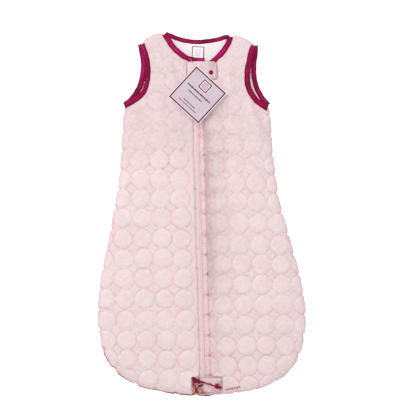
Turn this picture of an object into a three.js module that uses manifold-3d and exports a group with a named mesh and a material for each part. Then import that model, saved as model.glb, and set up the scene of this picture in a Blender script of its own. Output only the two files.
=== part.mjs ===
// Baby sleeping bag: a sleeveless quilted plush sack with a two-way centre zip,
// satin bindings round the neck and the armholes, a press-stud tab over each end
// of the zip, a woven neck label and a card hang tag.
// Millimetres. The sack lies on its back: +X to the right of someone looking down
// on its front, +Y towards the neck, +Z up out of the front.
// Origin: middle of the whole object's box, on the surface it lies on.
import * as THREE from 'three';
import { mergeVertices } from 'three/addons/utils/BufferGeometryUtils.js';
import Module from 'manifold-3d';

const wasm = await Module();
wasm.setup();

// ---------------------------------------------------------------- dimensions
const GAP = 0.3;                       // clearance between neighbouring pieces
const Z_BACK_SHELL = [0, 3.2];
const Z_BACK_LINING = [3.5, 5.0];
const Z_SEAM = [5.3, 13.7];            // seam allowances between the two faces
const Z_GUARD = [12.0, 13.2];          // soft strip behind the zip
const Z_FRONT_LINING = [14.0, 15.4];
const Z_TAPE = [15.7, 16.5];
const Z_COIL = [16.8, 19.6];
const Z_FRONT_SHELL = [16.8, 20.0];
const Z_FRONT_BINDING = [14.0, 20.6];
const Z_BACK_BINDING = [0.2, 5.6];
const Z_CARD = [30.4, 31.2];

const BINDING_W = 8.6;                 // visible width of the satin binding
const SEAM_W = 4.5;

const CHAIN_X0 = -5.41;                // the zip's centre line is x = X0 - SLOPE * y
const CHAIN_SLOPE = 0.0265;
const CHAIN_TOP = 280;
const CHAIN_BOTTOM = -343;
const COIL_W = 3.2;                    // one side of the coil
const PANEL_EDGE_LEFT = 7;             // zip centre to the left panel's edge
const PANEL_EDGE_RIGHT = 14;           // zip centre to the right panel's edge
const TAPE_LEFT = 15;
const TAPE_RIGHT = 22;

const FOLD_START_LEFT = [-87.3, 347.7];
const FOLD_START_RIGHT = [70.7, 343.6];
const FOLD_APEX_Y = -165;              // where both fold lines meet the zip
const FLAP_TIP = 36;                   // the flap's tip stops this far above the apex

const SLIDER_TOP_Y = 270;
const SLIDER_BOTTOM_Y = -331;
const SLIDER_LENGTH = 14;
const SLIDER_HALF_W = 5.4;
const PULL_LENGTH = 22;
const PULL_LENGTH_BOTTOM = 16;

const TAB_LENGTH = 35;                 // along the zip
const NECK_TAB_Y = 277;                // middle of the neck tab
const NECK_TAB_X = [-15.5, 42];        // from the zip's centre line
const HEM_TAB_Y = -336.5;
const HEM_TAB_X = [-22, 36];
const HEM_TAB_LENGTH = 31;
const SNAP_R = 4.4;
const NECK_SNAP = [18.0, 273.2];
const HEM_SNAP = [29.7, -337.4];

const TAG_CORNERS = [[-10.2, 286.6], [49.2, 232.0], [-5.4, 171.6], [-65.8, 226.2]];
const TAG_HOLE = [-9.8, 276.1];
const TAG_ANCHOR = [-23.5, 302.5];     // where its tie goes through the neck binding

// ------------------------------------------------------------------ outlines
// Side edges run from the underarm down to the middle of the hem.
const HEM_X = 7.5;
const SIDE_L = [[-150.4, 206.7], [-153.2, 171.6], [-155.9, 122.8], [-160.2, 68.2], [-167.8, 19.5], [-179.5, -42.9], [-191.2, -99.5], [-199.2, -150.2], [-202.0, -196.9], [-197.8, -239.8], [-185.7, -278.8], [-161.4, -312.0], [-124.3, -334.6], [-71.7, -347.1], [-30, -352.4], [HEM_X, -354.0]];
const SIDE_R = [[132.1, 200.8], [135.4, 161.8], [137.4, 122.8], [143.4, 74.1], [151.6, 21.4], [166.6, -33.1], [182.4, -87.8], [193.9, -134.5], [200.9, -179.4], [202.0, -208.7], [197.8, -247.7], [186.1, -284.7], [160.4, -317.1], [117.5, -340.1], [64.8, -349.6], [34, -352.8], [HEM_X, -354.0]];
const SHOULDER_L = [[-115.3, 331.5], [-106.8, 340.1], [-93.1, 346.7], [-75.6, 349.8]];
const SHOULDER_R = [[101.9, 328.4], [90.2, 336.2], [76.5, 342.4], [60.2, 345.9]];
// Front armholes, the shell's edge beside the binding, shoulder to underarm.
const ARM_L_FRONT = [[-113.8, 331.1], [-106.8, 313.9], [-102.5, 295.0], [-100.9, 279.2], [-101.7, 262.5], [-104.0, 248.6], [-109.5, 235.2], [-118.5, 224.2], [-131.1, 215.3], [-142.8, 209.6], [-150.4, 206.7]];
const ARM_R_FRONT = [[98.8, 328.0], [93.3, 317.8], [89.0, 299.5], [85.9, 282.8], [84.5, 265.8], [85.1, 251.4], [88.2, 239.5], [94.9, 227.4], [104.6, 215.7], [116.7, 206.7], [126.8, 201.2]];
// Back armholes, the binding's outer edge.
const ARM_L_BACK = [[-122.6, 328.4], [-119.6, 313.9], [-117.1, 296.4], [-116.9, 280.8], [-118.9, 265.2], [-122.0, 253.5], [-127.4, 241.0], [-135.2, 229.3], [-143.4, 220.3], [-151.2, 214.9]];
const ARM_R_BACK = [[108.9, 326.8], [108.9, 315.9], [106.6, 298.3], [105.4, 280.8], [106.4, 265.2], [109.7, 249.6], [115.5, 236.3], [122.6, 224.6], [132.3, 213.3]];
// Front neckline, the shell's edge beside the binding, shoulder to zip.
const NECK_L = [[-75.2, 347.9], [-68.5, 336.2], [-59.4, 321.8], [-47.5, 310.2], [-35.2, 301.3], [-22.9, 295.8], [-9.3, 293.7], [4.4, 293.3]];
const NECK_R = [[59.4, 343.2], [55.5, 330.9], [49.2, 319.8], [39.7, 307.3], [27.4, 295.2], [16.1, 287.6], [5.4, 283.5], [-8, 281.4]];
// Back neckline, the binding's outer edge, left to right.
const NECK_BACK = [[-68.7, 354.0], [-57.8, 349.8], [-47.5, 345.3], [-35.2, 341.8], [-19.8, 339.3], [-5.6, 338.3], [11.0, 339.9], [31.5, 343.8], [41.8, 347.1], [52.2, 349.2]];

// ------------------------------------------------------------------- helpers
const chainX = (y) => CHAIN_X0 - CHAIN_SLOPE * y;

function smooth(points, perSpan = 3) {
  const curve = new THREE.CatmullRomCurve3(points.map(([x, y]) => new THREE.Vector3(x, y, 0)), false, 'centripetal');
  return curve.getPoints((points.length - 1) * perSpan).map((p) => [p.x, p.y]);
}

// Moves a polyline sideways; positive is to the left of its direction of travel.
function offset(points, d) {
  return points.map((p, i) => {
    const a = points[Math.max(0, i - 1)];
    const b = points[Math.min(points.length - 1, i + 1)];
    const l = Math.hypot(b[0] - a[0], b[1] - a[1]);
    return [p[0] - (b[1] - a[1]) / l * d, p[1] + (b[0] - a[0]) / l * d];
  });
}

// The band between two sideways offsets of a polyline.
function band(points, d0, d1) {
  return [...offset(points, d0), ...offset(points, d1).reverse()];
}

function cleaned(points) {
  const out = points.filter((p, i) => {
    const q = points[(i + points.length - 1) % points.length];
    return Math.hypot(p[0] - q[0], p[1] - q[1]) > 0.02;
  });
  return out;
}

function slab(points, [z0, z1], holes = []) {
  const shape = new THREE.Shape(cleaned(points).map(([x, y]) => new THREE.Vector2(x, y)));
  for (const h of holes) shape.holes.push(new THREE.Path(h.map(([x, y]) => new THREE.Vector2(x, y))));
  return new THREE.ExtrudeGeometry(shape, { depth: z1 - z0, bevelEnabled: false, curveSegments: 1 }).translate(0, 0, z0);
}

// A profile in x and z, extruded along y between y0 and y1.
function profile(points, y0, y1) {
  const shape = new THREE.Shape(points.map(([x, z]) => new THREE.Vector2(x, z)));
  return new THREE.ExtrudeGeometry(shape, { depth: y1 - y0, bevelEnabled: false }).rotateX(Math.PI / 2).translate(0, y1, 0);
}

function box(x0, x1, y0, y1, z0, z1) {
  return new THREE.BoxGeometry(x1 - x0, y1 - y0, z1 - z0).translate((x0 + x1) / 2, (y0 + y1) / 2, (z0 + z1) / 2);
}

function disc(r, z0, z1, x = 0, y = 0, n = 24) {
  return new THREE.CylinderGeometry(r, r, z1 - z0, n).rotateX(Math.PI / 2).translate(x, y, (z0 + z1) / 2);
}

function turned(rz, x = 0, y = 0, n = 24) {
  // rz: radius and height pairs, first and last on the axis, from the bottom up
  return new THREE.LatheGeometry(rz.map(([r, z]) => new THREE.Vector2(r, z)), n).rotateX(Math.PI / 2).translate(x, y, 0);
}

function toManifold(geometry) {
  const g = geometry.clone();
  g.deleteAttribute('normal');
  g.deleteAttribute('uv');
  const m = mergeVertices(g, 1e-4);
  const mesh = new wasm.Mesh({ numProp: 3, vertProperties: new Float32Array(m.attributes.position.array), triVerts: new Uint32Array(m.index.array) });
  mesh.merge();
  return new wasm.Manifold(mesh);
}

function fromManifold(solid) {
  const m = solid.getMesh();
  const g = new THREE.BufferGeometry();
  const p = new Float32Array(m.numProp * m.numVert);
  for (let i = 0; i < m.numVert; i++) for (let k = 0; k < 3; k++) p[3 * i + k] = m.vertProperties[m.numProp * i + k];
  g.setAttribute('position', new THREE.BufferAttribute(p.slice(0, 3 * m.numVert), 3));
  g.setIndex(new THREE.BufferAttribute(new Uint32Array(m.triVerts), 1));
  return g;
}

const join = (...gs) => fromManifold(gs.map(toManifold).reduce((a, b) => a.add(b)));
const cut = (g, ...tools) => fromManifold(tools.map(toManifold).reduce((a, b) => a.subtract(b), toManifold(g)));

// ----------------------------------------------------------------- materials
const material = (color, roughness, metalness = 0) => new THREE.MeshStandardMaterial({ color, roughness, metalness });
const PLUSH = material(0xecd7d7, 0.95);
const LINING = material(0xf4eef0, 0.9);
const SATIN = material(0x8c0b40, 0.4);
const TAPE = material(0xf1e4e8, 0.85);
const COIL = material(0xf6eef2, 0.45);
const METAL = material(0xd9d3d6, 0.3, 0.8);
const SNAP = material(0xb00a50, 0.35);
const LABEL = material(0xf3f1f5, 0.8);
const CARD = material(0xded2dc, 0.6);
const TIE = material(0xeeeef2, 0.3);

const bag = new THREE.Group();
const zip = new THREE.Group();          // +Y of this group runs up the zip's centre line
zip.position.set(CHAIN_X0, 0, 0);
zip.rotation.z = Math.atan(CHAIN_SLOPE);
bag.add(zip);

function add(name, geometry, mat, parent = bag) {
  const mesh = new THREE.Mesh(geometry, mat);
  mesh.name = name;
  parent.add(mesh);
  return mesh;
}

// --------------------------------------------------------------------- back
const sideL = smooth(SIDE_L);
const sideR = smooth(SIDE_R);
const armLFront = smooth(ARM_L_FRONT);
const armRFront = smooth(ARM_R_FRONT);
const armLBack = smooth(ARM_L_BACK);
const armRBack = smooth(ARM_R_BACK);
const neckBack = smooth(NECK_BACK);
const neckL = smooth(NECK_L);
const neckR = smooth(NECK_R);

const armLBackShell = offset(armLBack, BINDING_W + GAP);    // travelling down, the body is on the left
const armRBackShell = offset(armRBack, -BINDING_W - GAP);
const neckBackShell = offset(neckBack, -BINDING_W - GAP);

const backOutline = [
  ...neckBackShell,
  ...[...SHOULDER_R].reverse().slice(1, 3),
  ...armRBackShell,
  ...sideR,
  ...[...sideL].reverse().slice(1),
  ...[...armLBackShell].reverse(),
  ...SHOULDER_L.slice(1, 3),
];
add('back_shell', slab(backOutline, Z_BACK_SHELL), PLUSH);
add('back_lining', slab(backOutline, Z_BACK_LINING), LINING);

// -------------------------------------------------------------------- front
// Each half of the front is a fixed side panel and a flap that turns back along
// the line from the shoulder's neck end to the zip.
const apexL = [chainX(FOLD_APEX_Y) - PANEL_EDGE_LEFT, FOLD_APEX_Y];
const apexR = [chainX(FOLD_APEX_Y) + PANEL_EDGE_RIGHT, FOLD_APEX_Y];
const along = (a, b, y) => [a[0] + (b[0] - a[0]) * (y - a[1]) / (b[1] - a[1]), y];
const tipY = FOLD_APEX_Y + FLAP_TIP;
const tipL = along(FOLD_START_LEFT, apexL, tipY);
const tipR = along(FOLD_START_RIGHT, apexR, tipY);
const H = GAP / 2;
const edgeL = (y) => [chainX(y) - PANEL_EDGE_LEFT, y];
const edgeR = (y) => [chainX(y) + PANEL_EDGE_RIGHT, y];
const ZIP_SLOT_END = -345.3;

const neckLShell = neckL.filter((p) => p[0] < chainX(295) - PANEL_EDGE_LEFT - 0.5);
const neckRShell = neckR.filter((p) => p[0] > chainX(283) + PANEL_EDGE_RIGHT + 0.5);

const flapOutlineL = [
  [FOLD_START_LEFT[0] + H, FOLD_START_LEFT[1]],
  [SHOULDER_L[3][0], SHOULDER_L[3][1] - 0.4],
  ...neckLShell,
  edgeL(295.2),
  edgeL(tipY + H),
  [tipL[0] + H, tipY + H],
];
const flapOutlineR = [
  [FOLD_START_RIGHT[0] - H, FOLD_START_RIGHT[1]],
  [SHOULDER_R[3][0], SHOULDER_R[3][1] - 0.4],
  ...neckRShell,
  edgeR(282.2),
  edgeR(tipY + H),
  [tipR[0] - H, tipY + H],
];
const sideOutlineL = [
  [FOLD_START_LEFT[0] - H, FOLD_START_LEFT[1] - 0.1],
  [tipL[0] - H, tipY - H],
  edgeL(tipY - H),
  edgeL(ZIP_SLOT_END),
  [HEM_X - H, ZIP_SLOT_END],
  ...[...sideL].reverse().map((p) => [Math.min(p[0], HEM_X - H), p[1]]),
  ...[...armLFront].reverse().slice(1),
  ...SHOULDER_L.slice(1, 3),
];
const sideOutlineR = [
  [FOLD_START_RIGHT[0] + H, FOLD_START_RIGHT[1] - 0.1],
  [tipR[0] + H, tipY - H],
  edgeR(tipY - H),
  edgeR(ZIP_SLOT_END),
  [HEM_X + H, ZIP_SLOT_END],
  ...[...sideR].reverse().map((p) => [Math.max(p[0], HEM_X + H), p[1]]),
  ...[...armRFront].reverse(),
  ...SHOULDER_R.slice(1, 3),
];
add('front_shell_left', slab(sideOutlineL, Z_FRONT_SHELL), PLUSH);
add('front_shell_right', slab(sideOutlineR, Z_FRONT_SHELL), PLUSH);
add('front_lining_left', slab(sideOutlineL, Z_FRONT_LINING), LINING);
add('front_lining_right', slab(sideOutlineR, Z_FRONT_LINING), LINING);
add('flap_shell_left', slab(flapOutlineL, Z_FRONT_SHELL), PLUSH);
add('flap_shell_right', slab(flapOutlineR, Z_FRONT_SHELL), PLUSH);
add('flap_lining_left', slab(flapOutlineL, Z_FRONT_LINING), LINING);
add('flap_lining_right', slab(flapOutlineR, Z_FRONT_LINING), LINING);

// -------------------------------------------------- seams between the faces
add('side_seam_left', slab(band(sideL.filter((p) => p[1] > -300), 1, 1 + SEAM_W), Z_SEAM), PLUSH);
add('side_seam_right', slab(band(sideR.filter((p) => p[1] > -300), -1, -1 - SEAM_W), Z_SEAM), PLUSH);
const hemLine = [...sideL.filter((p) => p[1] <= -304), ...[...sideR].reverse().slice(1).filter((p) => p[1] <= -304)];
add('hem_seam', slab(band(hemLine, 1, 1 + SEAM_W), Z_SEAM), PLUSH);
add('shoulder_seam_left', slab(band([[-109.5, 336.6], [-106.0, 339.4], [-93.1, 345.7], [-88.6, 346.6]], -0.6, -0.6 - SEAM_W), Z_SEAM), PLUSH);
add('shoulder_seam_right', slab(band([[96.4, 331.2], [90.2, 335.2], [76.5, 341.4], [72.2, 342.4]], 0.6, 0.6 + SEAM_W), Z_SEAM), PLUSH);

// ------------------------------------------------------------ satin bindings
add('armhole_binding_front_left', slab(band(armLFront, -GAP, -BINDING_W), Z_FRONT_BINDING), SATIN);
add('armhole_binding_front_right', slab(band(armRFront, GAP, BINDING_W), Z_FRONT_BINDING), SATIN);
add('armhole_binding_back_left', slab(band(armLBack, 0, BINDING_W), Z_BACK_BINDING), SATIN);
add('armhole_binding_back_right', slab(band(armRBack, 0, -BINDING_W), Z_BACK_BINDING), SATIN);
add('neck_binding_back', slab(band(neckBack, 0, -BINDING_W), Z_BACK_BINDING), SATIN);
const neckLBinding = neckL.filter((p) => p[0] < chainX(294) - 1.5);
add('neck_binding_front_left', slab(band(neckLBinding, GAP, BINDING_W), Z_FRONT_BINDING), SATIN);
const neckRBinding = neckR.filter((p) => p[0] > chainX(282) + 5);
add('neck_binding_front_right', slab(band(neckRBinding, -GAP, -BINDING_W), Z_FRONT_BINDING), SATIN);

// ---------------------------------------------------------------------- zip
// Coils, with the small pocket that each slider's wedge opens between them.
function coil(side) {
  const inner = 0.15;
  const pocket = 1.5;
  const top = [SLIDER_TOP_Y + 0.6, SLIDER_TOP_Y + 6.2];
  const low = [SLIDER_BOTTOM_Y - 6.2, SLIDER_BOTTOM_Y - 0.6];
  return [
    [inner, CHAIN_BOTTOM], [inner, low[0]], [pocket, low[0]], [pocket, low[1]], [inner, low[1]],
    [inner, top[0]], [pocket, top[0]], [pocket, top[1]], [inner, top[1]], [inner, CHAIN_TOP],
    [inner + COIL_W, CHAIN_TOP], [inner + COIL_W, CHAIN_BOTTOM],
  ].map(([x, y]) => [side * x, y]);
}
function tape(side, width) {
  const inner = 0.4;
  const pocket = 1.5;
  const top = [SLIDER_TOP_Y + 0.6, SLIDER_TOP_Y + 6.2];
  const low = [SLIDER_BOTTOM_Y - 6.2, SLIDER_BOTTOM_Y - 0.6];
  return [
    [inner, CHAIN_BOTTOM - 1], [inner, low[0]], [pocket, low[0]], [pocket, low[1]], [inner, low[1]],
    [inner, top[0]], [pocket, top[0]], [pocket, top[1]], [inner, top[1]], [inner, CHAIN_TOP + 0.5],
    [width, CHAIN_TOP + 0.5], [width, CHAIN_BOTTOM - 1],
  ].map(([x, y]) => [side * x, y]);
}
add('zip_coil_left', slab(coil(-1), Z_COIL), COIL, zip);
add('zip_coil_right', slab(coil(1), Z_COIL), COIL, zip);
add('zip_tape_left', slab(tape(-1, TAPE_LEFT), Z_TAPE), TAPE, zip);
add('zip_tape_right', slab(tape(1, TAPE_RIGHT), Z_TAPE), TAPE, zip);
add('zip_guard', box(-12, 16, CHAIN_BOTTOM + 6, 290, Z_GUARD[0], Z_GUARD[1]), LINING, zip);
add('zip_guard_binding', box(-6, 19.5, 290.4, 300.0, 11.9, 13.3), SATIN, zip);
add('zip_top_stop_left', box(-3.4, -0.6, CHAIN_TOP + 1.0, CHAIN_TOP + 3.4, 16.8, 19.9), METAL, zip);
add('zip_top_stop_right', box(0.6, 3.4, CHAIN_TOP - 0.0 + 1.0, CHAIN_TOP + 3.4, 16.8, 19.9).translate(0, -0.2, 0), METAL, zip);
add('zip_bottom_stop', box(-3.2, 3.0, CHAIN_BOTTOM - 3.6, CHAIN_BOTTOM - 1.3, 20.3, 21.3), METAL, zip);

// Slider: two plates joined by a wedge, flanges beside the coils, an arch on top.
// wedge is +1 when the wedge is at the slider's neck end and -1 at its hem end.
function slider(yc, wedge) {
  const h = SLIDER_LENGTH / 2;
  const plate = (z) => slab([[-4.2, -h], [4.2, -h], [SLIDER_HALF_W, 1 - h + 2], [SLIDER_HALF_W, h - 1.5], [3.2, h], [-3.2, h], [-SLIDER_HALF_W, h - 1.5], [-SLIDER_HALF_W, 3 - h]].map(([x, y]) => [x, y * wedge + yc]), z);
  const w0 = wedge > 0 ? yc + 1.0 : yc - 5.8;
  const pieces = [
    plate([19.9, 21.4]),
    plate([13.6, 15.2]),
    box(-1.15, 1.15, w0, w0 + 4.8, 15.0, 20.2),
    box(-SLIDER_HALF_W, -3.75, yc - 4, yc + 4, 17.0, 20.2),
    box(3.75, SLIDER_HALF_W, yc - 4, yc + 4, 17.0, 20.2),
    box(-1.1, 1.1, yc - 4.6, yc - 3.2, 21.0, 24.3),
    box(-1.1, 1.1, yc + 3.2, yc + 4.6, 21.0, 24.3),
    box(-1.1, 1.1, yc - 4.6, yc + 4.6, 23.6, 24.6),
  ];
  return join(...pieces);
}
// Pull: a bar under the arch and two arms to a tapered plate with a grip slot.
function pull(yc, length) {
  const outline = [[-3.0, 0.75], [3.0, 0.75], [3.0, -7.0], [3.6, -10], [3.0, -length], [-3.0, -length], [-3.6, -10], [-3.0, -7.0]];
  const eye = [[-1.9, -0.75], [-1.9, -6.4], [1.9, -6.4], [1.9, -0.75]];
  const grip = [[-1.3, -11.4], [-1.3, -length + 2.6], [1.3, -length + 2.6], [1.3, -11.4]];
  return slab(outline.map(([x, y]) => [x, y + yc]), [21.9, 23.2], [eye.map(([x, y]) => [x, y + yc]), grip.map(([x, y]) => [x, y + yc])]);
}
add('top_slider_body', slider(SLIDER_TOP_Y, 1), METAL, zip);
add('top_slider_pull', pull(SLIDER_TOP_Y, PULL_LENGTH), METAL, zip);
add('bottom_slider_body', slider(SLIDER_BOTTOM_Y, -1), METAL, zip);
add('bottom_slider_pull', pull(SLIDER_BOTTOM_Y, PULL_LENGTH_BOTTOM), METAL, zip);

// ------------------------------------------------ tabs over the zip's ends
// Each tab is sewn down at its left end, arches over the slider and snaps shut
// at its right end. The curve is given as x and the height of its underside.
function tabCurve([x0, x1]) {
  return [[x0, 20.9], [x0 + 5.5, 23.2], [-6.5, 25.2], [5.0, 25.2], [10.5, 24.6], [16.5, 23.1], [x1 - 14, 23.1], [x1, 22.7]];
}
function tabLayer(range, lift, thick, y, length) {
  const c = tabCurve(range);
  return profile([...c.map(([x, z]) => [x, z + lift]), ...[...c].reverse().map(([x, z]) => [x, z + lift + thick])], y - length / 2, y + length / 2);
}
// Press stud: a cap on the tab, its socket below, a stud on the panel under it.
const toZip = ([x, y]) => {
  const a = -zip.rotation.z;
  const dx = x - CHAIN_X0;
  return [dx * Math.cos(a) - y * Math.sin(a), dx * Math.sin(a) + y * Math.cos(a)];
};
function snapSet(prefix, at) {
  const [x, y] = toZip(at);
  const bore = disc(1.75, 10, 40, x, y);
  add(`${prefix}_snap_cap`, turned([[0, 26.75], [SNAP_R, 26.75], [SNAP_R, 27.4], [SNAP_R - 0.8, 27.9], [1.6, 28.2], [0, 28.2]], x, y), SNAP, zip);
  add(`${prefix}_snap_socket`, cut(disc(3.9, 20.95, 22.8, x, y), disc(2.05, 20, 22.0, x, y)), METAL, zip);
  add(`${prefix}_snap_stud`, turned([[0, 20.3], [3.6, 20.3], [3.6, 20.7], [1.6, 20.7], [1.6, 21.7], [0, 21.7]], x, y), METAL, zip);
  return bore;
}
function tab(prefix, range, y, length, snap) {
  add(`${prefix}_tab_lining`, tabLayer(range, 0, 1.0, y, length), SATIN, zip);
  add(`${prefix}_tab_shell`, tabLayer(range, 1.3, 2.0, y, length), PLUSH, zip);
  snapSet(prefix, snap);
}
tab('neck', NECK_TAB_X, NECK_TAB_Y, TAB_LENGTH, NECK_SNAP);
tab('hem', HEM_TAB_X, HEM_TAB_Y, HEM_TAB_LENGTH, HEM_SNAP);

// ----------------------------------------------------- label, card and tie
const label = [[-19.2, 326.8], [5.6, 325.3], [4.2, 300.0], [-20.6, 301.5]];
add('neck_label', slab(label, [5.3, 6.1]), LABEL);
const hole = [];
for (let i = 0; i < 16; i++) hole.push([TAG_HOLE[0] + 2.6 * Math.cos(i * Math.PI / 8), TAG_HOLE[1] + 2.6 * Math.sin(i * Math.PI / 8)]);
add('hang_tag_card', slab(TAG_CORNERS, Z_CARD, [hole]), CARD);
const tiePath = new THREE.CatmullRomCurve3([
  [TAG_ANCHOR[0], TAG_ANCHOR[1], 21.3], [TAG_ANCHOR[0] + 0.9, TAG_ANCHOR[1] - 1.9, 24.8], [TAG_ANCHOR[0] + 2.6, TAG_ANCHOR[1] - 5.1, 29.6],
  [TAG_ANCHOR[0] + 6.0, TAG_ANCHOR[1] - 11.5, 32.3], [TAG_HOLE[0] - 1.7, TAG_HOLE[1] + 3.4, 32.6], [TAG_HOLE[0], TAG_HOLE[1], 30.0],
].map(([x, y, z]) => new THREE.Vector3(x, y, z)));
const tieSection = new THREE.Shape();
for (let i = 0; i < 8; i++) {
  const p = [0.55 * Math.cos(i * Math.PI / 4), 0.55 * Math.sin(i * Math.PI / 4)];
  if (i) tieSection.lineTo(...p); else tieSection.moveTo(...p);
}
add('hang_tag_tie', join(
  new THREE.ExtrudeGeometry(tieSection, { steps: 24, bevelEnabled: false, extrudePath: tiePath }),
  box(TAG_HOLE[0] - 0.6, TAG_HOLE[0] + 0.6, TAG_HOLE[1] - 4.6, TAG_HOLE[1] + 4.6, 29.0, 30.1),
), TIE);

export default bag;
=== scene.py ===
import math

import bpy
import numpy as np
from mathutils import Matrix, Vector
from mathutils import geometry as mgeo
from mathutils.kdtree import KDTree


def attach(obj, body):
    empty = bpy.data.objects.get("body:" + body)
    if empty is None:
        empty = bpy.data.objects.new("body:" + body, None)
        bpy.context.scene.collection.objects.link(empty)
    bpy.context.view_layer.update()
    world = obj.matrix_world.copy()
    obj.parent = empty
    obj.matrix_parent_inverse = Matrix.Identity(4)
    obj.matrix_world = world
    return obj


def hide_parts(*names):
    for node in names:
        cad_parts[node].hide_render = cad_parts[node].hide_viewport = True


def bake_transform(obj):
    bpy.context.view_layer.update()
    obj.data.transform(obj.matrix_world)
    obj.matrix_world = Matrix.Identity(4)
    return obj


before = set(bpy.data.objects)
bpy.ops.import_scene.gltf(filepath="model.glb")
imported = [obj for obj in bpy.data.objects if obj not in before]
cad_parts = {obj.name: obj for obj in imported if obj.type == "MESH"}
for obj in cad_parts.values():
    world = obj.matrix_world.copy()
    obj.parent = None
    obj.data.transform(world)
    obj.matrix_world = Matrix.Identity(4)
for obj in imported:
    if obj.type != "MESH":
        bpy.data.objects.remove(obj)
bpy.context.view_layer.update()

MM = 0.001

# ------------------------------------------------------------ part outlines
# Millimetres, the same numbers as the part's own outlines.
CHAIN_X0 = -5.41
CHAIN_SLOPE = 0.0265
ZIP_ANGLE = math.atan(CHAIN_SLOPE)
CHAIN_TOP, CHAIN_BOTTOM = 280.0, -343.0
COIL_W = 3.2
BINDING_W = 8.6
FOLD_START_LEFT = (-87.3, 347.7)
FOLD_START_RIGHT = (70.7, 343.6)
FOLD_APEX_Y = -165.0
SLIDER_TOP_Y, SLIDER_BOTTOM_Y = 270.0, -331.0
NECK_TAB_X, NECK_TAB_Y, NECK_TAB_L = (-15.5, 42.0), 277.0, 35.0
HEM_TAB_X, HEM_TAB_Y, HEM_TAB_L = (-22.0, 36.0), -336.5, 31.0
NECK_SNAP = (18.0, 273.2)
HEM_SNAP = (29.7, -337.4)
TAG_CORNERS = np.array([(-10.2, 286.6), (49.2, 232.0), (-5.4, 171.6), (-65.8, 226.2)])
TAG_HOLE = (-9.8, 276.1)
TAG_ANCHOR = (-23.5, 302.5)
LABEL = np.array([(-19.4, 328.8), (5.6, 327.3), (4.2, 302.0), (-20.8, 303.5)])
HEM_X = 7.5
ZIP_SLOT_END = -345.3
SIDE_L = [[-150.4, 206.7], [-153.2, 171.6], [-155.9, 122.8], [-160.2, 68.2], [-167.8, 19.5], [-179.5, -42.9], [-191.2, -99.5], [-199.2, -150.2], [-202.0, -196.9], [-197.8, -239.8], [-185.7, -278.8], [-161.4, -312.0], [-124.3, -334.6], [-71.7, -347.1], [-30, -352.4], [HEM_X, -354.0]]
SIDE_R = [[132.1, 200.8], [135.4, 161.8], [137.4, 122.8], [143.4, 74.1], [151.6, 21.4], [166.6, -33.1], [182.4, -87.8], [193.9, -134.5], [200.9, -179.4], [202.0, -208.7], [197.8, -247.7], [186.1, -284.7], [160.4, -317.1], [117.5, -340.1], [64.8, -349.6], [34, -352.8], [HEM_X, -354.0]]
SHOULDER_L = [[-115.3, 331.5], [-106.8, 340.1], [-93.1, 346.7], [-75.6, 349.8]]
SHOULDER_R = [[101.9, 328.4], [90.2, 336.2], [76.5, 342.4], [60.2, 345.9]]
ARM_L_FRONT = [[-113.8, 331.1], [-106.8, 313.9], [-102.5, 295.0], [-100.9, 279.2], [-101.7, 262.5], [-104.0, 248.6], [-109.5, 235.2], [-118.5, 224.2], [-131.1, 215.3], [-142.8, 209.6], [-150.4, 206.7]]
ARM_R_FRONT = [[98.8, 328.0], [93.3, 317.8], [89.0, 299.5], [85.9, 282.8], [84.5, 265.8], [85.1, 251.4], [88.2, 239.5], [94.9, 227.4], [104.6, 215.7], [116.7, 206.7], [126.8, 201.2]]
ARM_L_BACK = [[-122.6, 328.4], [-119.6, 313.9], [-117.1, 296.4], [-116.9, 280.8], [-118.9, 265.2], [-122.0, 253.5], [-127.4, 241.0], [-135.2, 229.3], [-143.4, 220.3], [-151.2, 214.9]]
ARM_R_BACK = [[108.9, 326.8], [108.9, 315.9], [106.6, 298.3], [105.4, 280.8], [106.4, 265.2], [109.7, 249.6], [115.5, 236.3], [122.6, 224.6], [132.3, 213.3]]
NECK_L = [[-75.2, 347.9], [-68.5, 336.2], [-59.4, 321.8], [-47.5, 310.2], [-35.2, 301.3], [-22.9, 295.8], [-9.3, 293.7], [4.4, 293.3]]
NECK_R = [[59.4, 343.2], [55.5, 330.9], [49.2, 319.8], [39.7, 307.3], [27.4, 295.2], [16.1, 287.6], [5.4, 283.5], [-8, 281.4]]
NECK_BACK = [[-68.7, 354.0], [-57.8, 349.8], [-47.5, 345.3], [-35.2, 341.8], [-19.8, 339.3], [-5.6, 338.3], [11.0, 339.9], [31.5, 343.8], [41.8, 347.1], [52.2, 349.2]]

# Quilting: one pressed circle at each place of this lattice, in millimetres.
PX = 1.95
ROWS_L = [(213 - p) * PX for p in (62.5, 82.0, 101.5, 121.0, 140.6, 160.2, 179.6, 198.5, 218.4, 238.8, 258.7, 278.6, 299.0, 320.0, 340.0, 359.6, 379.5)]
ROWS_R = [(213 - p) * PX for p in (65.5, 85.0, 105.0, 124.8, 144.5, 165.3, 184.0, 202.5, 223.5, 244.9, 264.5, 284.5, 305.0, 325.0, 346.0, 365.5, 385.0)]
PUFF_R = 19.3


# ------------------------------------------------------------------ helpers
def chain_x(y):
    return CHAIN_X0 - CHAIN_SLOPE * y


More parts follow.
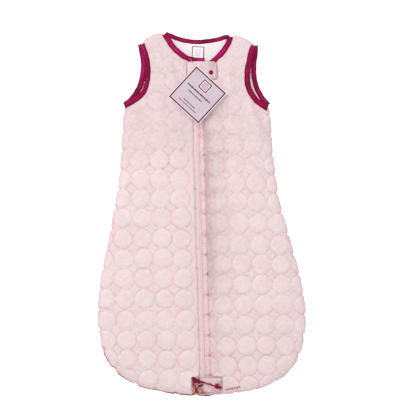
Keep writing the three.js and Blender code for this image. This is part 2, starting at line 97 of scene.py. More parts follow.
def smooth_curve(points, per=6):
    """Centripetal Catmull-Rom through the points."""
    p = np.array(points, float)
    p = np.vstack([2 * p[0] - p[1], p, 2 * p[-1] - p[-2]])
    out = []
    for i in range(1, len(p) - 2):
        p0, p1, p2, p3 = p[i - 1], p[i], p[i + 1], p[i + 2]
        t0 = 0.0
        t1 = t0 + max(np.linalg.norm(p1 - p0), 1e-6) ** 0.5
        t2 = t1 + max(np.linalg.norm(p2 - p1), 1e-6) ** 0.5
        t3 = t2 + max(np.linalg.norm(p3 - p2), 1e-6) ** 0.5
        for k in range(per):
            t = t1 + (t2 - t1) * k / per
            a1 = (t1 - t) / (t1 - t0) * p0 + (t - t0) / (t1 - t0) * p1
            a2 = (t2 - t) / (t2 - t1) * p1 + (t - t1) / (t2 - t1) * p2
            a3 = (t3 - t) / (t3 - t2) * p2 + (t - t2) / (t3 - t2) * p3
            b1 = (t2 - t) / (t2 - t0) * a1 + (t - t0) / (t2 - t0) * a2
            b2 = (t3 - t) / (t3 - t1) * a2 + (t - t1) / (t3 - t1) * a3
            out.append((t2 - t) / (t2 - t1) * b1 + (t - t1) / (t2 - t1) * b2)
    out.append(p[-2])
    return np.array(out)


def lengths(p):
    return np.concatenate([[0], np.cumsum(np.linalg.norm(np.diff(p, axis=0), axis=1))])


def resample(p, step):
    p = np.asarray(p, float)
    s = lengths(p)
    n = max(2, int(round(s[-1] / step)) + 1)
    t = np.linspace(0, s[-1], n)
    return np.stack([np.interp(t, s, p[:, k]) for k in range(p.shape[1])], 1)


def normals2(p):
    t = np.gradient(p, axis=0)
    t /= np.maximum(np.linalg.norm(t, axis=1, keepdims=True), 1e-9)
    return np.stack([-t[:, 1], t[:, 0]], 1)


def offset(p, d):
    return p + normals2(p) * (d[:, None] if isinstance(d, np.ndarray) else d)


def distance(P, line):
    """Distance from each point of P to an open polyline."""
    P = np.asarray(P, float)
    out = np.full(len(P), 1e9)
    a, b = line[:-1], line[1:]
    d = b - a
    l2 = np.maximum((d * d).sum(1), 1e-12)
    for i in range(0, len(P), 4000):
        q = P[i : i + 4000]
        t = np.clip(((q[:, None, :] - a) * d).sum(2) / l2, 0, 1)
        near = a + t[..., None] * d
        out[i : i + 4000] = np.sqrt(((q[:, None, :] - near) ** 2).sum(2).min(1))
    return out


def inside(P, poly):
    x, y = P[:, 0], P[:, 1]
    hit = np.zeros(len(P), bool)
    j = len(poly) - 1
    for i in range(len(poly)):
        xi, yi = poly[i]
        xj, yj = poly[j]
        if yi != yj:
            hit ^= ((yi > y) != (yj > y)) & (x < (xj - xi) * (y - yi) / (yj - yi) + xi)
        j = i
    return hit


def step01(t):
    t = np.clip(t, 0, 1)
    return t * t * (3 - 2 * t)


def round01(t):
    """Quarter-circle rise from 0 to 1."""
    t = np.clip(t, 0, 1)
    return np.sqrt(np.maximum(0, 1 - (1 - t) ** 2))


def lattice(ix, iy, seed):
    h = (ix.astype(np.int64) * 374761393 + iy.astype(np.int64) * 668265263 + seed * 974634777) & 0xFFFFFFFF
    h = ((h ^ (h >> 13)) * 1274126177) & 0xFFFFFFFF
    h = h ^ (h >> 16)
    return (h & 0xFFFFFF) / float(0xFFFFFF) * 2 - 1


def noise(x, y, size, seed=1):
    """Smooth value noise from -1 to 1, with features of about that size."""
    u, v = np.asarray(x) / size, np.asarray(y) / size
    iu, iv = np.floor(u).astype(int), np.floor(v).astype(int)
    fu, fv = step01(u - iu), step01(v - iv)
    a = lattice(iu, iv, seed) * (1 - fu) + lattice(iu + 1, iv, seed) * fu
    b = lattice(iu, iv + 1, seed) * (1 - fu) + lattice(iu + 1, iv + 1, seed) * fu
    return a * (1 - fv) + b * fv


def ridge(P, a, b, width, height):
    """A soft wrinkle along a-b that dies away at its ends."""
    a, b = np.array(a, float), np.array(b, float)
    d = b - a
    l = np.linalg.norm(d)
    t = ((P - a) @ d) / l**2
    off = ((P - a) @ np.array([-d[1], d[0]])) / l
    ends = step01((t + 0.15) / 0.4) * step01((1.15 - t) / 0.4)
    return height * ends * (np.exp(-((off / width) ** 2)) - 0.55 * np.exp(-(((off - 1.9 * width) / width) ** 2)))


def from_px(x, y):
    return ((x - 201.75) * PX, (213 - y) * PX)


def make(name, verts_mm, faces, material, attrs=None, smooth=True):
    mesh = bpy.data.meshes.new(name)
    mesh.from_pydata((np.asarray(verts_mm, float) * MM).tolist(), [], [list(map(int, f)) for f in faces])
    mesh.validate()
    mesh.update()
    obj = bpy.data.objects.new(name, mesh)
    bpy.context.scene.collection.objects.link(obj)
    for key, values in (attrs or {}).items():
        at = mesh.attributes.new(key, "FLOAT", "POINT")
        at.data.foreach_set("value", np.asarray(values, np.float32))
    if smooth:
        mesh.polygons.foreach_set("use_smooth", [True] * len(mesh.polygons))
    if material is not None:
        mesh.materials.append(material)
    return obj


def zip_world(x, y):
    """From the zip's own frame to the row frame, millimetres."""
    c, s = math.cos(ZIP_ANGLE), math.sin(ZIP_ANGLE)
    x, y = np.asarray(x, float), np.asarray(y, float)
    return CHAIN_X0 + x * c - y * s, x * s + y * c


def zip_local(x, y):
    c, s = math.cos(-ZIP_ANGLE), math.sin(-ZIP_ANGLE)
    dx, y = np.asarray(x, float) - CHAIN_X0, np.asarray(y, float)
    return dx * c - y * s, dx * s + y * c


def triangulate(outline, step, rows=(0.35, 1.0, 2.1), inner_points=None):
    """A mesh of points over a closed outline, close together at its edge.
    Returns the points, the triangles and how many points are on the edge."""
    loop = np.vstack([outline, outline[:1]])
    n = len(outline)
    pts = [outline]
    prev = np.roll(outline, 1, 0)
    nxt = np.roll(outline, -1, 0)
    t = nxt - prev
    t /= np.maximum(np.linalg.norm(t, axis=1, keepdims=True), 1e-9)
    nrm = np.stack([-t[:, 1], t[:, 0]], 1)
    area = 0.5 * np.sum(outline[:, 0] * nxt[:, 1] - nxt[:, 0] * outline[:, 1])
    if area < 0:
        nrm = -nrm
    for d in rows:
        q = outline + nrm * d
        q = q[inside(q, outline)]
        q = q[distance(q, loop) > 0.9 * d]
        keep, last = [], None
        gap = min(step * 0.8, 0.5 + d)
        for p in q:
            if last is None or np.hypot(*(p - last)) > gap * 0.7:
                keep.append(p)
                last = p
        if keep:
            pts.append(np.array(keep))
    lo, hi = outline.min(0), outline.max(0)
    ys = np.arange(lo[1], hi[1], step * 0.866)
    grid = []
    for k, y in enumerate(ys):
        xs = np.arange(lo[0] + (k % 2) * step / 2, hi[0], step)
        grid.append(np.stack([xs, np.full(len(xs), y)], 1))
    grid = np.vstack(grid) if inner_points is None else inner_points
    grid = grid[inside(grid, outline)]
    grid = grid[distance(grid, loop) > rows[-1] + step * 0.55]
    pts.append(grid)
    pts = np.vstack(pts)
    res = mgeo.delaunay_2d_cdt([Vector(p) for p in pts], [], [list(range(n))], 1, 1e-4, True)
    v = np.array([tuple(p) for p in res[0]])
    faces = [f for f in res[2] if len(f) == 3]
    edge = np.zeros(len(v), bool)
    for i, orig in enumerate(res[3]):
        edge[i] = any(o < n for o in orig)
    tri = np.array(faces)
    a, b, c = v[tri[:, 0]], v[tri[:, 1]], v[tri[:, 2]]
    cross = (b[:, 0] - a[:, 0]) * (c[:, 1] - a[:, 1]) - (b[:, 1] - a[:, 1]) * (c[:, 0] - a[:, 0])
    tri[cross < 0] = tri[cross < 0][:, ::-1]
    tri = tri[np.abs(cross) > 1e-7]
    return v, tri, edge


def pad_mesh(name, P, tri, edge, top, bottom, material, attrs=None):
    """Closed mesh between two height fields that meet along the edge."""
    n = len(P)
    back = np.full(n, -1)
    inner = np.where(~edge)[0]
    back[inner] = n + np.arange(len(inner))
    back[edge] = np.where(edge)[0]
    z = top.copy()
    z[edge] = (top[edge] + bottom[edge]) / 2
    verts = np.vstack([np.column_stack([P, z]), np.column_stack([P[inner], bottom[inner]])])
    faces = np.vstack([tri, back[tri][:, ::-1]])
    bad = (faces[:, 0] == faces[:, 1]) | (faces[:, 1] == faces[:, 2]) | (faces[:, 0] == faces[:, 2])
    faces = faces[~bad]
    # a triangle with all three corners on the edge would be a doubled face
    on_edge = edge[np.minimum(faces, n - 1)] & (faces < n)
    flat = on_edge.all(1)
    if flat.any():
        faces = faces[~flat]
    full = {k: np.concatenate([v, v[inner]]) for k, v in (attrs or {}).items()}
    return make(name, verts, faces, material, full)


def grid_solid(name, X, Y, top, bottom, material, attrs=None, holes=None):
    """Closed mesh over a rectangular array of points, between two heights."""
    nu, nv = X.shape
    k = nu * nv
    idx = np.arange(k).reshape(nu, nv)
    verts = np.vstack([np.column_stack([X.ravel(), Y.ravel(), top.ravel()]), np.column_stack([X.ravel(), Y.ravel(), bottom.ravel()])])
    a, b, c, d = idx[:-1, :-1].ravel(), idx[1:, :-1].ravel(), idx[1:, 1:].ravel(), idx[:-1, 1:].ravel()
    e1 = np.array([X.ravel()[b[0]] - X.ravel()[a[0]], Y.ravel()[b[0]] - Y.ravel()[a[0]]])
    e2 = np.array([X.ravel()[d[0]] - X.ravel()[a[0]], Y.ravel()[d[0]] - Y.ravel()[a[0]]])
    up = e1[0] * e2[1] - e1[1] * e2[0] > 0
    quads = np.column_stack([a, b, c, d]) if up else np.column_stack([a, d, c, b])
    faces = quads.tolist() + (quads[:, ::-1] + k).tolist()
    ring = np.concatenate([idx[:-1, 0], idx[-1, :-1], idx[1:, -1][::-1], idx[0, 1:][::-1]])
    nxt = np.roll(ring, -1)
    side = np.column_stack([ring, ring + k, nxt + k, nxt]) if up else np.column_stack([nxt, nxt + k, ring + k, ring])
    faces += side.tolist()
    full = {key: np.concatenate([np.asarray(v).ravel()] * 2) for key, v in (attrs or {}).items()}
    return make(name, verts, faces, material, full)


def sweep(name, path, section, material, attrs=None, closed=False):
    """path: points (n, 3). section(i) gives ring points as (across, up) pairs.
    Across is the horizontal normal of the path. Both ends are capped."""
    flat = path[:, :2]
    nrm = normals2(flat)
    rings = []
    for i in range(len(path)):
        s = np.asarray(section(i), float)
        ring = np.column_stack([path[i, 0] + nrm[i, 0] * s[:, 0], path[i, 1] + nrm[i, 1] * s[:, 0], path[i, 2] + s[:, 1]])
        rings.append(ring)
    m = len(rings[0])
    verts = np.vstack(rings)
    faces = []
    for i in range(len(path) - 1):
        for j in range(m):
            k = (j + 1) % m
            faces.append((i * m + j, (i + 1) * m + j, (i + 1) * m + k, i * m + k))
    faces.append(tuple(range(m)))
    faces.append(tuple((len(path) - 1) * m + j for j in reversed(range(m))))
    a = {}
    for key, v in (attrs or {}).items():
        v = np.asarray(v, float)
        a[key] = v.ravel() if v.ndim == 2 else np.repeat(v, m)
    obj = make(name, verts, faces, material, a)
    return obj


def superellipse(a, b, n=20, ea=0.62, eb=0.75):
    t = np.linspace(0, 2 * math.pi, n, endpoint=False)
    c, s = np.cos(t), np.sin(t)
    return np.column_stack([a * np.sign(c) * np.abs(c) ** ea, b * np.sign(s) * np.abs(s) ** eb])


def tube(name, pts, radius, material, sides=10):
    """Round tube along 3D points, capped, radius a number or one per point."""
    p = np.asarray(pts, float)
    r = np.broadcast_to(np.asarray(radius, float), (len(p),))
    t = np.gradient(p, axis=0)
    t /= np.linalg.norm(t, axis=1, keepdims=True)
    up = np.array([0.13, 0.21, 0.97])
    verts, faces = [], []
    for i in range(len(p)):
        a = np.cross(t[i], up)
        a /= np.linalg.norm(a)
        b = np.cross(t[i], a)
        for k in range(sides):
            w = 2 * math.pi * k / sides
            verts.append(p[i] + r[i] * (math.cos(w) * a + math.sin(w) * b))
    for i in range(len(p) - 1):
        for k in range(sides):
            q = (k + 1) % sides
            faces.append((i * sides + k, i * sides + q, (i + 1) * sides + q, (i + 1) * sides + k))
    faces.append(tuple(reversed(range(sides))))
    faces.append(tuple((len(p) - 1) * sides + k for k in range(sides)))
    return make(name, verts, faces, material)


def join(objs, name, smooth=True):
    """One mesh from several objects with no parent."""
    verts, faces, mats, mat_index, base = [], [], [], [], 0
    for o in objs:
        m = o.data
        co = np.empty(len(m.vertices) * 3)
        m.vertices.foreach_get("co", co)
        verts.append(co.reshape(-1, 3) / MM)
        if m.materials and m.materials[0] not in mats:
            mats.append(m.materials[0])
        k = mats.index(m.materials[0]) if m.materials else 0
        for p in m.polygons:
            faces.append([base + v for v in p.vertices])
            mat_index.append(k)
        base += len(m.vertices)
    obj = make(name, np.vstack(verts), faces, None, smooth=smooth)
    for m in mats:
        obj.data.materials.append(m)
    if len(obj.data.polygons) == len(mat_index):
        obj.data.polygons.foreach_set("material_index", mat_index)
    for o in objs:
        bpy.data.objects.remove(o, do_unlink=True)
    return obj


def stitches(name, path, z, spacing, length, radius, material, lift=None):
    """A row of short threads lying along a path; z is a number or one per point."""
    p = resample(path, spacing)
    s = lengths(p)
    zz = np.full(len(p), z) if np.isscalar(z) else np.interp(s / s[-1], np.linspace(0, 1, len(z)), z)
    t = np.gradient(p, axis=0)
    t /= np.linalg.norm(t, axis=1, keepdims=True)
    verts, faces = [], []
    prof = [(-0.5, 0.25), (-0.36, 0.85), (0, 1.0), (0.36, 0.85), (0.5, 0.25)]
    m = 6
    for i in range(len(p)):
        d = t[i]
        nrm = np.array([-d[1], d[0]])
        base = len(verts)
        for along, w in prof:
            dip = -(abs(along) * 2) ** 3 * radius * 1.2
            for k in range(m):
                a = 2 * math.pi * k / m
                q = p[i] + d * along * length + nrm * math.cos(a) * radius * w
                verts.append((q[0], q[1], zz[i] + math.sin(a) * radius * w * 0.8 + dip))
        for r in range(len(prof) - 1):
            for k in range(m):
                k2 = (k + 1) % m
                faces.append((base + r * m + k, base + (r + 1) * m + k, base + (r + 1) * m + k2, base + r * m + k2))
        faces.append(tuple(base + k for k in range(m)))
        faces.append(tuple(base + (len(prof) - 1) * m + k for k in reversed(range(m))))
    return make(name, verts, faces, material)


# ---------------------------------------------------------------- materials
def srgb(r, g, b):
    def f(c):
        c /= 255.0
        return c / 12.92 if c <= 0.04045 else ((c + 0.055) / 1.055) ** 2.4
    return (f(r), f(g), f(b), 1.0)


class Nodes:
    def __init__(self, name):
        self.mat = bpy.data.materials.new(name)
        self.mat.use_nodes = True
        self.nt = self.mat.node_tree
        self.bsdf = next(n for n in self.nt.nodes if n.type == "BSDF_PRINCIPLED")
        self.coord = self.nt.nodes.new("ShaderNodeTexCoord")

    def link(self, a, b):
        self.nt.links.new(a, b)

    def noise(self, scale, detail=3.0, rough=0.6, vec=None):
        n = self.nt.nodes.new("ShaderNodeTexNoise")
        n.inputs["Scale"].default_value = scale
        n.inputs["Detail"].default_value = detail
        n.inputs["Roughness"].default_value = rough
        self.link(vec or self.coord.outputs["Object"], n.inputs["Vector"])
        return n.outputs["Fac"]

    def voronoi(self, scale, vec=None):
        n = self.nt.nodes.new("ShaderNodeTexVoronoi")
        n.inputs["Scale"].default_value = scale
        self.link(vec or self.coord.outputs["Object"], n.inputs["Vector"])
        return n.outputs["Distance"]

    def wave(self, scale, axis="X", distortion=0.0, vec=None, detail=0.0):
        n = self.nt.nodes.new("ShaderNodeTexWave")
        n.wave_type = "BANDS"
        n.bands_direction = axis
        n.inputs["Scale"].default_value = scale
        n.inputs["Distortion"].default_value = distortion
        n.inputs["Detail"].default_value = detail
        self.link(vec or self.coord.outputs["Object"], n.inputs["Vector"])
        return n.outputs["Fac"]

    def mapping(self, rot=(0, 0, 0), scale=(1, 1, 1)):
        n = self.nt.nodes.new("ShaderNodeMapping")
        n.inputs["Rotation"].default_value = rot
        n.inputs["Scale"].default_value = scale
        self.link(self.coord.outputs["Object"], n.inputs["Vector"])
        return n.outputs["Vector"]

    def attr(self, name):
        n = self.nt.nodes.new("ShaderNodeAttribute")
        n.attribute_name = name
        return n.outputs["Fac"]

    def math(self, op, a, b=None, c=None, clamp=False):
        n = self.nt.nodes.new("ShaderNodeMath")
        n.operation = op
        n.use_clamp = clamp
        for i, v in enumerate((a, b, c)):
            if v is None:
                continue
            if isinstance(v, (int, float)):
                n.inputs[i].default_value = v
            else:
                self.link(v, n.inputs[i])
        return n.outputs[0]

    def remap(self, v, a, b, c, d):
        n = self.nt.nodes.new("ShaderNodeMapRange")
        n.inputs["From Min"].default_value = a
        n.inputs["From Max"].default_value = b
        n.inputs["To Min"].default_value = c
        n.inputs["To Max"].default_value = d
        self.link(v, n.inputs["Value"])
        return n.outputs["Result"]

    def mix(self, fac, a, b):
        n = self.nt.nodes.new("ShaderNodeMix")
        n.data_type = "RGBA"
        for key, v in ((0, fac), (6, a), (7, b)):
            if isinstance(v, (int, float)):
                n.inputs[key].default_value = v
            elif isinstance(v, tuple):
                n.inputs[key].default_value = v
            else:
                self.link(v, n.inputs[key])
        return n.outputs[2]

    def bump(self, height, strength, distance, normal=None):
        n = self.nt.nodes.new("ShaderNodeBump")
        n.inputs["Strength"].default_value = strength
        n.inputs["Distance"].default_value = distance
        self.link(height, n.inputs["Height"])
        if normal is not None:
            self.link(normal, n.inputs["Normal"])
        return n.outputs["Normal"]

    def set(self, **kw):
        names = {"color": "Base Color", "rough": "Roughness", "metal": "Metallic", "sheen": "Sheen Weight", "sheen_rough": "Sheen Roughness", "sheen_tint": "Sheen Tint", "coat": "Coat Weight", "coat_rough": "Coat Roughness", "normal": "Normal", "spec": "Specular IOR Level", "aniso": "Anisotropic", "sss": "Subsurface Weight", "sss_scale": "Subsurface Scale", "trans": "Transmission Weight", "ior": "IOR"}
        for k, v in kw.items():
            sock = self.bsdf.inputs[names[k]]
            if isinstance(v, (int, float, tuple)):
                sock.default_value = v
            else:
                self.link(v, sock)
        return self


def plush_material(name, pale, pink, deep, cool_tint_and_shade):
    """Short looped pile: pale on the puffs, pinker in the pressed circles, partly the pressed pile's colour and partly
    painted shade in their grooves.
    The mesh carries rad, the distance from the nearest circle's middle in mm,
    fade, how faint the circle is, shade, how far the colour goes towards deep (painted shade on the panels and seams,
    random mottling on the neck tab, the satin showing through on the hem tab), and a second amount towards a greyer
    colour (painted shade on the panels and the neck tab, a plain greyer tone on the hem tab)."""
    m = Nodes(name)
    pile = m.noise(430, 4, 0.75)
    curls = m.noise(820, 3, 0.7)
    tufts = m.voronoi(560)
    patches = m.noise(34, 2, 0.5)
    soft = m.noise(135, 3, 0.6)
    rad = m.math("ADD", m.attr("rad"), m.remap(soft, 0.3, 0.7, -0.9, 0.9))
    # the pressed circles' pinker ring: partly the pressed pile's colour and partly painted shade in the grooves
    off = m.math("ABSOLUTE", m.math("SUBTRACT", rad, PUFF_R))
    line = m.remap(off, 0.0, 2.2, 1.0, 0.0)
    line = m.math("POWER", line, 1.4, clamp=True)
    line = m.math("MULTIPLY", line, m.remap(m.noise(88, 2, 0.5), 0.34, 0.60, 0.45, 1.12))
    outside = m.remap(m.math("SUBTRACT", rad, PUFF_R), 0.5, 3.0, 0.0, 0.17)
    strength = m.math("SUBTRACT", 1.0, m.attr("fade"))
    fac = m.math("MULTIPLY", m.math("ADD", line, outside), strength)
    fac = m.math("ADD", fac, m.remap(pile, 0.34, 0.66, -0.26, 0.30), clamp=True)
    fac = m.math("ADD", fac, m.math("MULTIPLY", m.attr("groove"), 0.8), clamp=True)
    base = m.mix(fac, pale, pink)
    base = m.mix(m.remap(curls, 0.42, 0.66, 0.0, 0.34), base, deep)
    base = m.mix(m.remap(soft, 0.42, 0.70, 0.0, 0.22), base, pink)
    base = m.mix(m.remap(patches, 0.40, 0.7, 0.0, 0.22), base, pink)
    # towards deep by the shade attribute: painted shade where it marks seams, edges and creases
    base = m.mix(m.math("MULTIPLY", m.attr("shade"), m.remap(pile, 0.3, 0.7, 0.7, 1.25), clamp=True), base, deep)
    # towards the greyer colour: painted shade on the panels and the neck tab
    base = m.mix(m.math("MULTIPLY", m.attr("cool_tint_and_shade"), m.remap(soft, 0.3, 0.7, 0.6, 1.3), clamp=True), base, cool_tint_and_shade)
    height = m.math("ADD", m.math("MULTIPLY", pile, 0.7), m.math("MULTIPLY", tufts, -0.5))
    height = m.math("ADD", height, m.math("MULTIPLY", m.math("MULTIPLY", line, strength), -0.55))
    n1 = m.bump(height, 0.9, 0.0012)
    n2 = m.bump(soft, 0.6, 0.0026, n1)
    m.set(color=base, rough=0.96, sheen=0.22, sheen_rough=0.6, sheen_tint=(1.0, 0.93, 0.93, 1), normal=n2, spec=0.08)
    return m.mat


def satin_material(name, colour, dark, light, angle=0.0, fold_shade=0.5):
    """Satin: colour, with painted highlight streaks along it, painted shade in the hollows of its fold bumps and
    painted shade from the shade attribute.
    """
    m = Nodes(name)
    vec = m.mapping((0, 0, angle))
    thread = m.wave(900, "DIAGONAL", 1.5, vec, 1.0)
    folds = m.noise(150, 3, 0.6)
    big = m.noise(46, 2, 0.5)
    # painted shade: darker where the fold bumps are low
    base = m.mix(m.remap(folds, 0.30, 0.55, fold_shade, 0.0), colour, dark)
    # painted highlight streaks, stronger in some places
    base = m.mix(m.math("MULTIPLY", m.attr("painted_highlight"), m.remap(big, 0.32, 0.62, 0.25, 1.0), clamp=True), base, light)
    base = m.mix(m.attr("shade"), base, dark)
    n1 = m.bump(thread, 0.12, 0.00025)
    n2 = m.bump(folds, 0.6, 0.0020, n1)
    m.set(color=base, rough=m.remap(folds, 0.3, 0.7, 0.34, 0.5), sheen=0.0, normal=n2, spec=0.09, aniso=0.3)
    return m.mat


def mottled_material(name, pale, mid, dark):
    """Crumpled satin and pile together, in blotches of two to three millimetres."""
    m = Nodes(name)
    a = m.noise(360, 3, 0.65)
    b = m.noise(620, 3, 0.7)
    c = m.noise(150, 2, 0.5)
    base = m.mix(m.remap(a, 0.40, 0.60, 0.0, 1.0), pale, mid)
    base = m.mix(m.remap(b, 0.44, 0.62, 0.0, 0.85), base, dark)
    base = m.mix(m.remap(c, 0.5, 0.68, 0.0, 0.6), base, pale)
    base = m.mix(m.attr("shade"), base, dark)
    n1 = m.bump(m.math("ADD", a, b), 0.9, 0.0010)
    m.set(color=base, rough=0.7, normal=n1, spec=0.1)
    return m.mat


def knit_material(name, a, b):
    m = Nodes(name)
    v = m.wave(420, "X", 0.6)
    w = m.wave(420, "Y", 0.6)
    fibre = m.noise(900, 3, 0.6)
    soft = m.noise(24, 2, 0.5)
    knit = m.math("MULTIPLY", v, w)
    base = m.mix(m.remap(knit, 0.0, 1.0, 0.55, 0.0), a, b)
    base = m.mix(m.remap(soft, 0.35, 0.7, 0.0, 0.4), base, b)
    n1 = m.bump(m.math("ADD", knit, m.math("MULTIPLY", fibre, 0.35)), 0.35, 0.0004)
    m.set(color=base, rough=0.9, sheen=0.2, normal=n1, spec=0.15)
    return m.mat


def tape_material(name, a, b):
    m = Nodes(name)
    vec = m.mapping((0, 0, -ZIP_ANGLE))
    ribs = m.wave(330, "X", 0.15, vec)
    picks = m.wave(620, "Y", 0.2, vec)
    fibre = m.noise(1200, 2, 0.6)
    tw = m.math("MULTIPLY", ribs, m.math("ADD", picks, 0.35))
    base = m.mix(m.remap(tw, 0.0, 1.1, 0.8, 0.0), a, b)
    base = m.mix(m.remap(m.noise(60, 2), 0.35, 0.7, 0.0, 0.3), base, b)
    # the shade attribute darkens it towards dull pink: painted shade, with the darker patches and specks
    base = m.mix(m.attr("shade"), base, srgb(176, 118, 128))
    n1 = m.bump(m.math("ADD", tw, m.math("MULTIPLY", fibre, 0.25)), 0.5, 0.0004)
    m.set(color=base, rough=0.8, sheen=0.15, normal=n1, spec=0.2)
    return m.mat


def hard_material(name, colour, tint, rough, metal=0.0, coat=0.0, grain=300, spec=0.5):
    m = Nodes(name)
    n = m.noise(grain, 3, 0.6)
    fine = m.noise(grain * 5, 2, 0.5)
    base = m.mix(m.remap(n, 0.35, 0.7, 0.0, 0.6), colour, tint)
    m.set(color=base, rough=m.remap(fine, 0.3, 0.7, rough * 0.85, min(1.0, rough * 1.2)), metal=metal, coat=coat, coat_rough=0.15, spec=spec, normal=m.bump(fine, 0.12, 0.0002))
    return m.mat


PLUSH_L = plush_material("plush_front", srgb(250, 236, 234), srgb(237, 196, 202), srgb(214, 166, 175), srgb(205, 178, 183))
# the seam rolls' pile, with a dark deep colour for the painted shade along the edges
PLUSH_SEAM = plush_material("plush_seam", srgb(240, 214, 214), srgb(216, 168, 172), srgb(150, 92, 98), srgb(205, 178, 183))
PLUSH_TAB = plush_material("plush_tab", srgb(250, 236, 235), srgb(240, 204, 209), srgb(218, 174, 184), srgb(205, 178, 183))
SATIN = satin_material("satin_binding", srgb(152, 0, 66), srgb(92, 0, 34), srgb(222, 24, 140), 0.0, 0.40)
SATIN_TAB = satin_material("satin_tab", srgb(176, 62, 60), srgb(112, 14, 22), srgb(234, 172, 150), 0.6, 0.9)
MOTTLED = mottled_material("mottled_end", srgb(232, 190, 180), srgb(186, 92, 76), srgb(116, 22, 30))
PLUSH_HEM = plush_material("plush_hem_tab", srgb(246, 228, 227), srgb(232, 184, 190), srgb(146, 24, 54), srgb(205, 178, 183))
SATIN_FOLD = satin_material("satin_fold", srgb(136, 12, 46), srgb(92, 6, 24), srgb(184, 50, 84), 0.6, 0.8)
LINING = knit_material("lining_knit", srgb(255, 251, 252), srgb(250, 239, 242))
TAPE = tape_material("zip_tape_weave", srgb(254, 234, 233), srgb(240, 208, 211))
COIL = hard_material("coil_nylon", srgb(255, 236, 236), srgb(246, 214, 216), 0.5)
METAL = hard_material("pale_enamel", srgb(226, 214, 220), srgb(206, 194, 201), 0.34, 0.25, 0.4)
STEEL = hard_material("snap_steel", srgb(205, 202, 204), srgb(176, 172, 176), 0.3, 0.9, 0.0)
CAP = hard_material("cap_magenta", srgb(150, 0, 56), srgb(118, 0, 42), 0.5, 0.0, 0.0, spec=0.12)
THREAD = hard_material("thread_magenta", srgb(168, 10, 84), srgb(120, 4, 50), 0.6, spec=0.12)
THREAD_PALE = hard_material("thread_pale", srgb(240, 224, 226), srgb(228, 204, 210), 0.8)
LABEL_WHITE = knit_material("label_satin", srgb(255, 255, 255), srgb(250, 247, 252))
LABEL_INK = hard_material("label_ink", srgb(158, 44, 108), srgb(136, 26, 90), 0.75, spec=0.1)
LABEL_FAINT = hard_material("label_faint", srgb(206, 190, 208), srgb(190, 172, 196), 0.8)
CARD_WHITE = hard_material("card_white", srgb(250, 247, 250), srgb(240, 234, 240), 0.55)
CARD_FIELD = hard_material("card_field", srgb(214, 198, 208), srgb(204, 186, 198), 0.6, grain=90, spec=0.2)
CARD_INK = hard_material("card_ink", srgb(120, 0, 58), srgb(98, 0, 44), 0.7, spec=0.04)
CARD_BAR = hard_material("card_bar", srgb(112, 76, 100), srgb(88, 52, 78), 0.7, spec=0.05)
CARD_MOTIF = hard_material("card_motif", srgb(196, 150, 184), srgb(182, 134, 170), 0.55)
CLEAR = hard_material("clear_tie", srgb(242, 214, 220), srgb(232, 200, 208), 0.35, 0.0, 0.0, spec=0.25)
CLEAR.node_tree.nodes["Principled BSDF"].inputs["Transmission Weight"].default_value = 0.35

# -------------------------------------------------------- camera and lights
cam_data = bpy.data.cameras.new("camera")
cam = bpy.data.objects.new("camera", cam_data)
bpy.context.scene.collection.objects.link(cam)
cam_data.lens = 85
cam_data.sensor_width = 36
cam_data.clip_end = 20
cam.location = (0.0161, 0.00585, 0.02 + 0.819 * 85 / 36)
cam.rotation_euler = (0, 0, 0)
bpy.context.scene.camera = cam

scene = bpy.context.scene
scene.view_settings.view_transform = "Standard"
scene.view_settings.look = "None"
scene.view_settings.exposure = 0.0
scene.view_settings.gamma = 1.0

world = bpy.data.worlds.new("studio")
scene.world = world
world.use_nodes = True
bg = world.node_tree.nodes["Background"]
bg.inputs[0].default_value = (1.0, 1.0, 1.0, 1)
bg.inputs[1].default_value = 0.50


def area_light(name, loc, target, size, power, colour=(1, 1, 1)):
    data = bpy.data.lights.new(name, "AREA")
    data.shape = "DISK"
    data.size = size
    data.energy = power
    data.color = colour
    o = bpy.data.objects.new(name, data)
    scene.collection.objects.link(o)
    o.location = loc
    o.rotation_euler = (Vector(target) - Vector(loc)).to_track_quat("-Z", "Y").to_euler()
    return o


area_light("key", (-1.1, 1.4, 1.7), (0, 0, 0), 1.3, 18)
area_light("top", (0.05, 0.05, 3.2), (0, 0, 0), 1.2, 34)

floor_mesh = bpy.data.meshes.new("floor")
floor_mesh.from_pydata([(-4, -4, -0.0006), (4, -4, -0.0006), (4, 4, -0.0006), (-4, 4, -0.0006)], [], [(0, 1, 2, 3)])
floor = bpy.data.objects.new("floor", floor_mesh)
scene.collection.objects.link(floor)
fm = Nodes("floor_white")
fm.set(color=fm.mix(fm.noise(3, 2), (0.60, 0.60, 0.60, 1), (0.63, 0.63, 0.63, 1)), rough=0.9, spec=0.1)
fm.bsdf.inputs["Emission Color"].default_value = (1, 1, 1, 1)
fm.bsdf.inputs["Emission Strength"].default_value = 0.80
floor_mesh.materials.append(fm.mat)

# ------------------------------------------------------------ shared curves
AXIS = np.array([16.1, 5.85])


def lower(p, z):
    """An outline seen from above at the height of the front, drawn at height z."""
    return AXIS + (np.asarray(p, float) - AXIS) * (1933.8 + 20 - z) / 1933.8


side_l = lower(smooth_curve(SIDE_L, 12), 9)
side_r = lower(smooth_curve(SIDE_R, 12), 9)
arm_l = smooth_curve(ARM_L_FRONT)
arm_r = smooth_curve(ARM_R_FRONT)
arm_lb = lower(smooth_curve(ARM_L_BACK), 5)
arm_rb = lower(smooth_curve(ARM_R_BACK), 5)
neck_l = smooth_curve(NECK_L)
neck_r = smooth_curve(NECK_R)
neck_b = lower(smooth_curve(NECK_BACK), 5)
shoulder_l = offset(lower(smooth_curve(SHOULDER_L), 9), 1.4)
shoulder_r = offset(lower(smooth_curve(SHOULDER_R), 9), -1.4)


